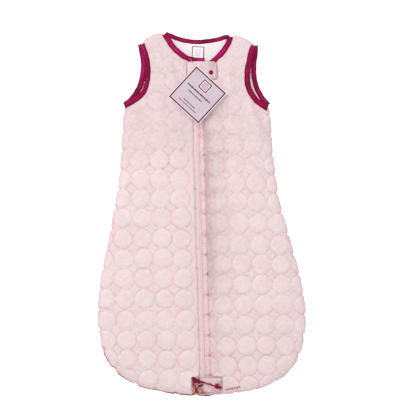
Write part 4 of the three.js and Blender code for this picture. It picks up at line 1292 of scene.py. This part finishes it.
# ---------------------------------------------------- metal and moulded pieces
def bevel(obj, width, segments=3, angle=30):
    b = obj.modifiers.new("soft_edges", "BEVEL")
    b.width = width * MM
    b.segments = segments
    b.limit_method = "ANGLE"
    b.angle_limit = math.radians(angle)
    for p in obj.data.polygons:
        pass
    return b


def keep_node(name, material, width, segments=3):
    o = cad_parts[name]
    if o.data.materials:
        for i in range(len(o.data.materials)):
            o.data.materials[i] = material
    else:
        o.data.materials.append(material)
    bevel(o, width, segments)
    return o


for name in ("top_slider_body", "bottom_slider_body"):
    keep_node(name, METAL, 0.35)
for name in ("top_slider_pull", "bottom_slider_pull"):
    keep_node(name, METAL, 0.3)
for name in ("zip_top_stop_left", "zip_top_stop_right", "zip_bottom_stop"):
    keep_node(name, METAL, 0.35)


def lathe(name, profile, at, material, n=48, body=None, node=None):
    verts, faces = [], []
    for r, z in profile:
        for k in range(n):
            a = 2 * math.pi * k / n
            verts.append((at[0] + r * math.cos(a), at[1] + r * math.sin(a), z))
    m = len(profile)
    for i in range(m - 1):
        for k in range(n):
            q = (k + 1) % n
            faces.append((i * n + k, i * n + q, (i + 1) * n + q, (i + 1) * n + k))
    faces.append(tuple(reversed(range(n))))
    faces.append(tuple((m - 1) * n + k for k in range(n)))
    o = make(name, verts, faces, material)
    if node:
        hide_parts(node)
    if body:
        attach(o, body)
    return o


def snap_cap(name, at, body, node):
    r = 4.4
    prof = [(0.6, 26.75), (3.6, 26.75), (4.15, 26.85), (4.38, 27.1), (4.38, 27.35), (4.2, 27.62), (3.85, 27.82), (3.5, 27.86), (3.3, 27.78), (3.15, 27.72), (2.95, 27.76), (2.6, 27.95), (2.0, 28.18), (1.3, 28.3), (0.75, 28.24), (0.55, 28.1), (0.3, 28.05)]
    return lathe(name, prof, at, CAP, 48, body, node)


snap_cap("neck_snap_button", NECK_SNAP, "neck_tab", "neck_snap_cap")
snap_cap("hem_snap_button", HEM_SNAP, "hem_tab", "hem_snap_cap")
for prefix, at, tab_body, base_body in (("neck", NECK_SNAP, "neck_tab", "right_flap"), ("hem", HEM_SNAP, "hem_tab", "sack")):
    sock = [(2.05, 22.0), (2.05, 21.15), (2.25, 20.98), (2.7, 20.92), (3.2, 20.98), (3.75, 21.2), (3.9, 21.6), (3.9, 22.3), (3.7, 22.65), (3.2, 22.8), (1.0, 22.8), (0.3, 22.8)]
    n = 48
    verts, faces = [], []
    prof = [(0.3, 22.0)] + sock
    for r, z in prof:
        for k in range(n):
            a = 2 * math.pi * k / n
            verts.append((at[0] + r * math.cos(a), at[1] + r * math.sin(a), z))
    for i in range(len(prof) - 1):
        for k in range(n):
            q = (k + 1) % n
            faces.append((i * n + k, i * n + q, (i + 1) * n + q, (i + 1) * n + k))
    faces.append(tuple(reversed(range(n))))
    faces.append(tuple((len(prof) - 1) * n + k for k in range(n)))
    o = make(prefix + "_snap_socket_turned", verts, faces, STEEL)
    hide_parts(prefix + "_snap_socket")
    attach(o, tab_body)
    stud = [(0.4, 20.3), (3.4, 20.3), (3.6, 20.42), (3.6, 20.62), (3.35, 20.76), (2.4, 20.78), (1.75, 20.85), (1.55, 21.0), (1.5, 21.2), (1.68, 21.38), (1.66, 21.56), (1.4, 21.7), (0.8, 21.75), (0.3, 21.75)]
    lathe(prefix + "_snap_stud_turned", stud, at, STEEL, 48, base_body, prefix + "_snap_stud")


# -------------------------------------------------------------------- tabs
def tab_curve(x0, x1):
    k = np.array([[x0, 20.9], [x0 + 5.5, 23.2], [-6.5, 25.2], [5.0, 25.2], [10.5, 24.6], [16.5, 23.1], [x1 - 14, 23.1], [x1, 22.7]])
    return resample(smooth_curve(k, 8), 0.4)


def tab_piece(name, x0, x1, cx, yc, length, z0, z1, material, corner, crown, pile, seed, nu=64, nv=44, groove=0.2, corner_l=1.0, shade_fn=None, edge_r=2.4, low=0.30, cool_tint_and_shade_fn=None):
    """Padded piece that follows a tab's curve cx between zip-frame x0 and x1."""
    curve = tab_curve(*cx)
    uu = np.linspace(0, 1, nu)
    uu = 0.5 - 0.5 * np.cos(uu * math.pi)
    xs = x0 + (x1 - x0) * uu
    zc = np.interp(xs, curve[:, 0], curve[:, 1])
    vv = np.sin(np.linspace(-math.pi / 2, math.pi / 2, nv))
    def half(x):
        h = np.full_like(x, length / 2)
        r = corner
        d = np.clip((x - (x1 - r)) / r, 0, 1)
        h -= r * (1 - np.sqrt(np.maximum(0, 1 - d**2)))
        d = np.clip(((x0 + corner_l) - x) / corner_l, 0, 1)
        h -= corner_l * (1 - np.sqrt(np.maximum(0, 1 - d**2)))
        return h
    H = half(xs)
    X = np.repeat(xs[:, None], nv, 1)
    Y = yc + H[:, None] * vv[None, :]
    X = X + 0.35 * noise(Y, X, 7, seed) * step01((X - x0) / 4)
    Y = Y + 0.35 * noise(X, Y * 0, 6, seed + 1)
    de = np.minimum(np.minimum(H[:, None] * (1 - np.abs(vv))[None, :], (xs - x0)[:, None] + 0.6), (x1 - xs)[:, None])
    rnd = round01(de / edge_r)
    t = z1 - z0
    top = zc[:, None] + z0 + t * (low + (1 - low) * rnd) + crown * step01(de / 12)
    top = top + pile * noise(X, Y, 2.2, seed + 2) + 0.5 * pile * noise(X, Y, 1.2, seed + 3)
    bottom = zc[:, None] + z0 + t * 0.6 * low * (1 - round01(de / 2.4))
    W = zip_world(X, Y)
    # by default, painted shade along the piece's edges; random painted highlight patches, read by the satin materials
    attrs = {"rad": X * 0, "fade": X * 0 + 1, "cool_tint_and_shade": (cool_tint_and_shade_fn(X, Y) if cool_tint_and_shade_fn else 0) * np.ones_like(X), "painted_highlight": np.clip(noise(X, Y, 3.0, seed + 7) * 1.4 - 0.2, 0, 1), "groove": np.clip(groove + 0.5 * np.exp(-((de / 2.0) ** 2)), 0, 1) * np.ones_like(X), "shade": (shade_fn(X, Y, de) if shade_fn else 0.35 * np.exp(-((de / 1.5) ** 2))) * np.ones_like(X)}
    return grid_solid(name, W[0], W[1], top, bottom, material, attrs)


# the greyer tint, rising towards the right end, is painted shade; the darker patches are random mottling
nt = tab_piece("neck_tab_plush", *NECK_TAB_X, NECK_TAB_X, NECK_TAB_Y, NECK_TAB_L, 1.3, 3.6, PLUSH_TAB, 8.0, 0.5, 0.22, 5, groove=0.05, edge_r=8.0, low=0.18, cool_tint_and_shade_fn=lambda X, Y: np.clip(0.26 + 0.4 * step01((X - 16) / 22) + 0.15 * noise(X, Y, 9, 8), 0, 1), shade_fn=lambda X, Y, de: 0.22 * np.clip(noise(X, Y, 4, 9), 0, 1))
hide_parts("neck_tab_shell")
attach(nt, "neck_tab")
nt2 = tab_piece("neck_tab_satin_back", NECK_TAB_X[0], NECK_TAB_X[1] - 0.9, NECK_TAB_X, NECK_TAB_Y, NECK_TAB_L - 1.4, 0.0, 1.0, SATIN, 7.2, 0.0, 0.0, 6)
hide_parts("neck_tab_lining")
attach(nt2, "neck_tab")

hx0, hx1 = HEM_TAB_X
FOLD_FROM = zip_local(*from_px(192.2, 377.6))
FOLD_TO = zip_local(*from_px(222.0, 386.8))


def hem_stain(X, Y, de):
    """How far the satin shows through the hem tab's pile: along the fold, at the
    crumpled end and along the lower left edge."""
    P = np.column_stack([X.ravel(), Y.ravel()])
    t = np.linspace(0, 1, 30)
    line = np.column_stack([FOLD_FROM[0] + (FOLD_TO[0] - FOLD_FROM[0]) * t, FOLD_FROM[1] + (FOLD_TO[1] - FOLD_FROM[1]) * t - 1.0 * np.sin(t * 3.1)])
    d = distance(P, line).reshape(X.shape)
    rough = 0.75 + 0.7 * noise(X, Y, 3.3, 19) + 0.4 * noise(X, Y, 1.6, 20)
    out = 0.85 * np.exp(-((d / (3.4 - 1.2 * np.clip((X + 8) / 20, 0, 1))) ** 2)) * rough
    cap = np.hypot(X - FOLD_TO[0] + 8.5, Y - FOLD_TO[1] - 1.2)
    out = out + 0.7 * np.exp(-((cap / 6.0) ** 2)) * rough
    out = out + np.clip(0.95 - (X + 7.0) / 13.0, 0, 0.95) * np.clip(0.55 + 1.1 * noise(X, Y, 3.0, 21), 0, 1) * np.clip((HEM_TAB_Y + 10 - Y) / 6, 0, 1)
    out = out + 0.30 * np.clip(0.7 + 0.9 * noise(X, Y, 4.5, 22), 0, 1) * np.clip((HEM_TAB_Y + 4 - Y + 0.15 * (X + 22)) / 5, 0, 1)
    out = out + 0.75 * np.exp(-(((Y - HEM_TAB_Y + 13.2) / 2.2) ** 2)) * np.clip((9 - X) / 8, 0, 1) * rough
    out = out + 0.55 * np.exp(-(((X - 32.5) / 1.8) ** 2)) * np.clip((HEM_TAB_Y + 1 - Y) / 4, 0, 1) * rough
    return np.clip(out, 0, 0.95)


ht = tab_piece("hem_tab_plush", -7.0, hx1, HEM_TAB_X, HEM_TAB_Y, HEM_TAB_L, 1.3, 3.7, PLUSH_HEM, 7.0, 0.5, 0.3, 15, nu=80, nv=60, groove=0.1, edge_r=7.0, low=0.18, cool_tint_and_shade_fn=lambda X, Y: np.clip(0.14 + 0.2 * noise(X, Y, 8, 18), 0, 1), shade_fn=hem_stain)
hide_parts("hem_tab_shell")
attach(ht, "hem_tab")
hs = tab_piece("hem_tab_satin_end", hx0, -5.5, HEM_TAB_X, HEM_TAB_Y - 1.2, HEM_TAB_L - 1.4, 1.15, 3.5, MOTTLED, 1.0, 0.3, 0.5, 17, nu=54, nv=54, shade_fn=lambda X, Y, de: np.clip(0.20 - 0.8 * noise(X, Y, 3.2, 19) + 0.5 * np.exp(-((Y - HEM_TAB_Y - 11.5 + 0.32 * (X + 22)) / 3.5) ** 2), 0, 0.9), edge_r=4.0)
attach(hs, "hem_tab")
ht2 = tab_piece("hem_tab_satin_back", hx0, hx1 - 0.9, HEM_TAB_X, HEM_TAB_Y, HEM_TAB_L - 1.4, 0.0, 1.0, SATIN_TAB, 6.2, 0.0, 0.0, 16)
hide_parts("hem_tab_lining")
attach(ht2, "hem_tab")


def tab_edge(name, cx, x0, x1, y_edge, half_w, body, seed, lift=2.6, material=None):
    curve = tab_curve(*cx)
    xs = np.linspace(x0, x1, int((x1 - x0) / 0.9))
    zc = np.interp(xs, curve[:, 0], curve[:, 1]) + lift
    ws = zip_world(xs, y_edge + 0.45 * noise(xs, xs * 0, 4.2, seed))
    path = np.column_stack([ws[0], ws[1], zc + 0.12 * noise(xs, xs * 0, 3, seed + 1)])
    s = lengths(path[:, :2])
    def sec(i):
        k = 0.35 + 0.65 * float(round01(min(s[i], s[-1] - s[i]) / 2.0))
        w = half_w * (1 + 0.22 * float(noise(s[i], 0.0, 3.4, seed + 2)) + 0.14 * float(noise(s[i], 0.0, 1.5, seed + 3)))
        return superellipse(w * k, 1.75 * k * (1 + 0.1 * float(noise(s[i], 0.0, 2.5, seed + 4))), 18, 0.7, 0.7)
    o = sweep(name, path, sec, material or SATIN_TAB, {"shade": 0.3 * np.clip(-noise(s, s * 0, 4, seed + 5), 0, 1)})
    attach(o, body)
    return o


def on_tab(cx, x, y, lift):
    """World point on a tab's upper face from zip-frame x and y."""
    curve = tab_curve(*cx)
    w = zip_world(x, y)
    return np.column_stack([w[0], w[1], np.interp(x, curve[:, 0], curve[:, 1]) + lift])


bx0, by0 = zip_local(*from_px(192.2, 377.6))
bx1, by1 = zip_local(*from_px(221.5, 387.2))
t = np.linspace(0, 1, 90)
wig = 0.75 * noise(t * 62, t * 0, 3.6, 61) + 0.45 * noise(t * 62, t * 0, 1.5, 62)
bxs = bx0 + (bx1 - bx0) * t
path = on_tab(HEM_TAB_X, bxs, by0 + (by1 - by0) * t + wig - 1.0 * np.sin(t * 3.1), 3.75)
path[:, 2] += 0.2 * noise(t * 62, t * 0, 2.0, 63)
bs = lengths(path[:, :2])
wid = (2.2 - 0.9 * step01(t * 1.5) + 0.6 * step01((t - 0.75) / 0.2)) * (1 + 0.34 * noise(bs, bs * 0, 2.6, 64) + 0.2 * noise(bs, bs * 0, 1.1, 65))
# random darker patches and painted highlight patches on the fold
o = sweep("hem_tab_satin_fold", path, lambda i: superellipse(wid[i] * (0.3 + 0.7 * float(round01(min(bs[i], bs[-1] - bs[i]) / 2.5))), 0.8, 16, 0.7, 0.7), SATIN_FOLD, {"shade": np.clip(0.45 - 0.5 * noise(bs, bs * 0, 4, 66), 0, 1), "painted_highlight": np.clip(noise(bs, bs * 0, 5, 67), 0, 1) * 0.5})
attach(o, "hem_tab")
# short creases of the same satin that run off the fold
for j, (ax, ay, bx, by, w0, sd) in enumerate(((194.0, 379.8, 200.5, 383.0, 1.3, 3), (197.5, 386.0, 203.5, 383.8, 1.3, 13), (214.6, 383.4, 219.6, 384.2, 1.0, 33))):
    q0, q1 = zip_local(*from_px(ax, ay)), zip_local(*from_px(bx, by))
    tt = np.linspace(0, 1, 40)
    cx_ = q0[0] + (q1[0] - q0[0]) * tt
    cy_ = q0[1] + (q1[1] - q0[1]) * tt + (0.7 * noise(tt * 22, tt * 0, 3.4, sd) + 0.4 * noise(tt * 22, tt * 0, 1.4, sd + 1)) * (abs(q1[0] - q0[0]) > 4)
    path = on_tab(HEM_TAB_X, cx_, cy_, 3.55)
    ss = lengths(path[:, :2])
    ww = w0 * (1 + 0.4 * noise(ss, ss * 0, 2.4, sd + 2))
    # random darker patches and painted highlight patches on each crease
    o = sweep("hem_tab_crease_%d" % (j + 1), path, lambda i: superellipse(ww[i] * (0.25 + 0.75 * float(round01(min(ss[i], ss[-1] - ss[i]) / 4.0))), 0.8, 12, 0.8, 0.8), SATIN_FOLD, {"shade": np.clip(0.25 - 0.6 * noise(ss, ss * 0, 3, sd + 3), 0, 1), "painted_highlight": np.clip(noise(ss, ss * 0, 3, sd + 4), 0, 1) * 0.6})
    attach(o, "hem_tab")
hyy = np.linspace(1.0, 30.0, 34)
path = on_tab(HEM_TAB_X, hyy, HEM_TAB_Y - HEM_TAB_L / 2 + 3.0 + 0.4 * noise(hyy, hyy * 0, 3, 71), 4.0)
st = stitches("hem_tab_stitches", path[:, :2], path[:, 2], 2.7, 2.0, 0.36, THREAD)
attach(st, "hem_tab")

# a satin hem facing that peeps out below the plush, and its stitches
low_line = np.vstack([side_l_s[side_l_s[:, 1] <= -258], side_r_s[::-1][1:][side_r_s[::-1][1:, 1] <= -285]])
facing = resample(low_line, 1.6)
fs = lengths(facing)
peep = 0.75 + 0.9 * noise(fs, fs * 0, 15, 81) + 0.5 * noise(fs, fs * 0, 3.5, 82) - 1.2 * step01((facing[:, 0] - 22) / 20) + 1.3 * np.exp(-(((facing[:, 0] - 9) / 7) ** 2)) + 0.7 * np.exp(-(((facing[:, 0] + 50) / 26) ** 2)) - 0.7 * np.exp(-((fs / 14) ** 2))
fp = np.column_stack([offset(facing, -peep + 0.55), 6.6 + 0.3 * noise(fs, fs * 0, 8, 83)])
# random darker patches and painted highlight patches along the facing
o = sweep("hem_satin_facing", fp, lambda i: superellipse(1.6, 1.1, 14, 0.7, 0.7), SATIN_TAB, {"shade": np.clip(0.3 - 0.5 * noise(fs, fs * 0, 5, 84), 0, 1), "painted_highlight": np.clip(noise(fs, fs * 0, 7, 85), 0, 1)})
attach(o, "sack")

row = resample(np.array([from_px(225.3, 389.6), from_px(232.0, 388.7), from_px(239.4, 387.0)]), 0.8)
row_z = front_heights(row, 1, zip_edge_r, neck_r_shell, arm_r)[0]
RUSSET = hard_material("thread_russet", srgb(176, 66, 66), srgb(132, 32, 40), 0.7, spec=0.08)
for k, (side_step, gap_mm, length_mm) in enumerate(((0.9, 3.7, 2.4), (-0.9, 4.9, 2.0))):
    line = offset(row, side_step)
    line[:, 1] += 0.7 * noise(line[:, 0], line[:, 0] * 0, 4.3, 131 + k)
    st = stitches("hem_panel_stitches_%d" % (k + 1), line, row_z + 0.45, gap_mm, length_mm, 1.15, RUSSET)
    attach(st, "sack")

# --------------------------------------------------------------- neck label
e1 = LABEL[1] - LABEL[0]
e2 = LABEL[3] - LABEL[0]


def on_label(u, v, z):
    """u to the right and v downwards, both 0 to 1."""
    u, v = np.asarray(u, float), np.asarray(v, float)
    return LABEL[0][0] + u * e1[0] + v * e2[0], LABEL[0][1] + u * e1[1] + v * e2[1]


u = np.linspace(0, 1, 26)
v = np.linspace(0, 1, 26)
U, V = np.meshgrid(u, v, indexing="ij")
X, Y = on_label(U, V, 0)
de = np.minimum(np.minimum(U, 1 - U), np.minimum(V, 1 - V)) * 25
rd = round01(de / 0.8)
curl = 0.35 * V**2 + 0.12 * np.sin(U * 7)
label = grid_solid("neck_label_woven", X, Y, 5.75 + 0.3 * (0.3 + 0.7 * rd) + curl, 5.75 - 0.3 * (0.3 + 0.7 * rd) + curl * 0.8, LABEL_WHITE, {"shade": U * 0})
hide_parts("neck_label")
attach(label, "sack")


def label_z(u, v):
    return 6.05 + 0.35 * v**2 + 0.12 * math.sin(u * 7)


def label_strip(name, pts, width, material, lift=0.06):
    P = np.array([on_label(a, b, 0) for a, b in pts])
    P = resample(P, 0.7)
    inv = np.linalg.inv(np.column_stack([e1, e2]))
    uv = (P - LABEL[0]) @ inv.T
    z = np.array([label_z(a, b) for a, b in uv]) + lift
    return sweep(name, np.column_stack([P, z]), lambda i: superellipse(width / 2, 0.10, 8, 0.6, 0.8), material, {"shade": np.zeros(len(P))})


parts = []
f0, f1 = 0.06, 0.94
for a, b in (((f0, f0), (f1, f0)), ((f1, f0), (f1, f1)), ((f1, f1), (f0, f1)), ((f0, f1), (f0, f0))):
    parts.append(label_strip("lb", [a, b], 1.5, LABEL_INK))
frame_obj = join(parts, "neck_label_border")
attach(frame_obj, "sack")
parts = []
circle = [(0.5 + 0.20 * math.cos(t), 0.46 + 0.20 * math.sin(t)) for t in np.linspace(0, 2 * math.pi, 33)]
parts.append(label_strip("lm", circle, 0.8, LABEL_FAINT))
arc = [(0.5 + 0.10 * math.cos(t), 0.46 + 0.10 * math.sin(t)) for t in np.linspace(0.6, 4.0, 17)]
parts.append(label_strip("lm", arc, 0.8, LABEL_FAINT))
parts.append(label_strip("lm", [(0.3, 0.76), (0.7, 0.76)], 0.8, LABEL_FAINT))
motif = join(parts, "neck_label_motif")
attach(motif, "sack")
top_edge = np.array([on_label(a, 0.035, 0) for a in np.linspace(0.05, 0.95, 12)])
st = stitches("neck_label_stitches", top_edge, 6.12, 2.6, 1.8, 0.22, THREAD_PALE)
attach(st, "sack")

# ------------------------------------------------------------------ hang tag
TO, TR, TB, TL = TAG_CORNERS
cu = TR - TO
cv = TL - TO
LU, LV = np.linalg.norm(cu), np.linalg.norm(cv)
cu, cv = cu / LU, cv / LV


def card_xy(a, b):
    """a and b in millimetres along the card's two edges from its top corner."""
    return TO + cu * a + cv * b


def rounded_rect(a0, a1, b0, b1, r, n=6):
    out = []
    for cx_, cy_, s in ((a1 - r, b1 - r, 0), (a0 + r, b1 - r, 1), (a0 + r, b0 + r, 2), (a1 - r, b0 + r, 3)):
        for k in range(n + 1):
            t = (s + k / n) * math.pi / 2
            out.append((cx_ + r * math.cos(t), cy_ + r * math.sin(t)))
    return out


def plate(name, outline_ab, z0, z1, material, hole=None, bev=0.0):
    """Flat printed or cut piece, in the card's own coordinates."""
    loop = np.array([card_xy(a, b) for a, b in outline_ab])
    n = len(loop)
    area = 0.5 * np.sum(loop[:, 0] * np.roll(loop[:, 1], -1) - np.roll(loop[:, 0], -1) * loop[:, 1])
    if area < 0:
        loop = loop[::-1]
    pts, edges = [Vector(p) for p in loop], [(i, (i + 1) % n) for i in range(n)]
    if hole is not None:
        h = np.asarray(hole)
        k = len(pts)
        pts += [Vector(p) for p in h]
        edges += [(k + i, k + (i + 1) % len(h)) for i in range(len(h))]
    res = mgeo.delaunay_2d_cdt(pts, edges, [], 0, 1e-5, True)
    v = np.array([tuple(p) for p in res[0]])
    faces = []
    for f in res[2]:
        c = v[list(f)].mean(0)[None]
        if not inside(c, loop)[0]:
            continue
        if hole is not None and inside(c, np.asarray(hole))[0]:
            continue
        p = v[list(f)]
        cr = (p[1, 0] - p[0, 0]) * (p[2, 1] - p[0, 1]) - (p[1, 1] - p[0, 1]) * (p[2, 0] - p[0, 0])
        faces.append(list(f) if cr > 0 else list(f)[::-1])
    k = len(v)
    verts = np.vstack([np.column_stack([v, np.full(k, z1)]), np.column_stack([v, np.full(k, z0)])])
    all_f = [list(f) for f in faces] + [[i + k for i in reversed(f)] for f in faces]
    count = {}
    for f in faces:
        for i in range(len(f)):
            a, b = f[i], f[(i + 1) % len(f)]
            count[(a, b)] = count.get((a, b), 0) + 1
    for (a, b) in list(count):
        if (b, a) not in count:
            all_f.append([b, a, a + k, b + k])
    o = make(name, verts, all_f, material, None, smooth=False)
    return o


hole_ring = [(TAG_HOLE[0] + 2.0 * math.cos(t), TAG_HOLE[1] + 2.0 * math.sin(t)) for t in np.linspace(0, 2 * math.pi, 28, endpoint=False)]
card = plate("hang_tag_card_stock", rounded_rect(0, LU, 0, LV, 1.6), 30.4, 31.2, CARD_WHITE, hole_ring)
bevel(card, 0.14, 2)
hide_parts("hang_tag_card")
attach(card, "hang_tag")


def inlay(name, outlines, material, z0=31.2, z1=31.26, body="hang_tag"):
    o = join([plate("tmp", ol, z0, z1, material, h) for ol, h in outlines], name, smooth=False)
    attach(o, body)
    return o


def ab(px, py):
    """Card coordinates of a place given in sheet units."""
    p = np.array(from_px(px, py)) - TO
    return float(p @ cu), float(p @ cv)


inlay("hang_tag_field", [(rounded_rect(2.2, LU - 2.2, 2.2, LV - 2.2, 0.4), hole_ring)], CARD_FIELD, 31.2, 31.24)


def frame_loop(a0, a1, b0, b1, w):
    """Four thin bars round a rectangle."""
    return [([(a0, b0), (a1, b0), (a1, b0 + w), (a0, b0 + w)], None), ([(a0, b1 - w), (a1, b1 - w), (a1, b1), (a0, b1)], None),
            ([(a0, b0 + w), (a0 + w, b0 + w), (a0 + w, b1 - w), (a0, b1 - w)], None), ([(a1 - w, b0 + w), (a1, b0 + w), (a1, b1 - w), (a1 - w, b1 - w)], None)]


inlay("hang_tag_border", frame_loop(1.4, LU - 1.4, 1.4, LV - 1.4, 2.6), CARD_INK, 31.2, 31.27)
ca, cb = ab(205.1, 87.0)
inlay("hang_tag_frame_ground", frame_loop(ca - 11.0, ca + 11.0, cb - 11.0, cb + 11.0, 4.2), CARD_WHITE, 31.24, 31.27)
inlay("hang_tag_frame", frame_loop(ca - 10.2, ca + 10.2, cb - 10.2, cb + 10.2, 2.3), CARD_INK, 31.27, 31.31)
ring_pts = [card_xy(ca + 6.0 * math.cos(t), cb + 6.0 * math.sin(t)) for t in np.linspace(0, 2 * math.pi, 40, endpoint=False)]
ring_in = [card_xy(ca + 4.6 * math.cos(t), cb + 4.6 * math.sin(t)) for t in np.linspace(0, 2 * math.pi, 40, endpoint=False)]
circle_ab = [(ca + 6.0 * math.cos(t), cb + 6.0 * math.sin(t)) for t in np.linspace(0, 2 * math.pi, 40, endpoint=False)]
cres = [(ca + 3.2 * math.cos(t), cb + 3.2 * math.sin(t)) for t in np.linspace(0.7, 5.2, 22)] + [(ca + 0.9 + 2.0 * math.cos(t), cb + 0.7 + 2.0 * math.sin(t)) for t in np.linspace(4.9, 1.0, 18)]
inlay("hang_tag_motif", [(circle_ab, ring_in), (cres, None)], CARD_MOTIF, 31.24, 31.30)
bars = []
for (x0, y0), (x1, y1), w in (((188.8, 83), (209, 104.6), 3.3), ((188.4, 90.4), (201.6, 102.4), 2.3), ((184, 99), (195, 109.4), 1.9), ((179, 98.6), (196.4, 114.2), 1.6)):
    a0, b0 = ab(x0, y0)
    a1, b1 = ab(x1, y1)
    bm = (b0 + b1) / 2
    at, k = min(a0, a1), 0
    while at < max(a0, a1) - 1.0:          # broken rules of uneven length
        ln = min(max(a0, a1) - at, 2.2 + 1.7 * (1 + math.sin(2.3 * k + w * 5)))
        bars.append(([(at, bm - w / 2), (at + ln, bm - w / 2), (at + ln, bm + w / 2), (at, bm + w / 2)], None))
        at += ln + 0.9
        k += 1
inlay("hang_tag_bars", bars, CARD_BAR, 31.24, 31.30)

tie_pts = smooth_curve([
    (TAG_ANCHOR[0], TAG_ANCHOR[1], 21.3), (TAG_ANCHOR[0] + 0.9, TAG_ANCHOR[1] - 1.9, 24.8), (TAG_ANCHOR[0] + 2.6, TAG_ANCHOR[1] - 5.1, 29.6),
    (TAG_ANCHOR[0] + 6.0, TAG_ANCHOR[1] - 11.5, 32.3), (TAG_HOLE[0] - 1.7, TAG_HOLE[1] + 3.4, 32.6), (TAG_HOLE[0], TAG_HOLE[1], 30.0)], 8)
tie_bar = np.column_stack([np.full(9, TAG_HOLE[0]), np.linspace(TAG_HOLE[1] - 4.6, TAG_HOLE[1] + 4.6, 9), np.full(9, 29.6)])
tie = join([tube("t1", tie_pts, 0.3, CLEAR, 12), tube("t2", tie_bar, [0.5, 0.7, 0.78, 0.8, 0.8, 0.8, 0.78, 0.7, 0.5], CLEAR, 12)], "hang_tag_tie_loop")
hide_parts("hang_tag_tie")
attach(tie, "hang_tag")
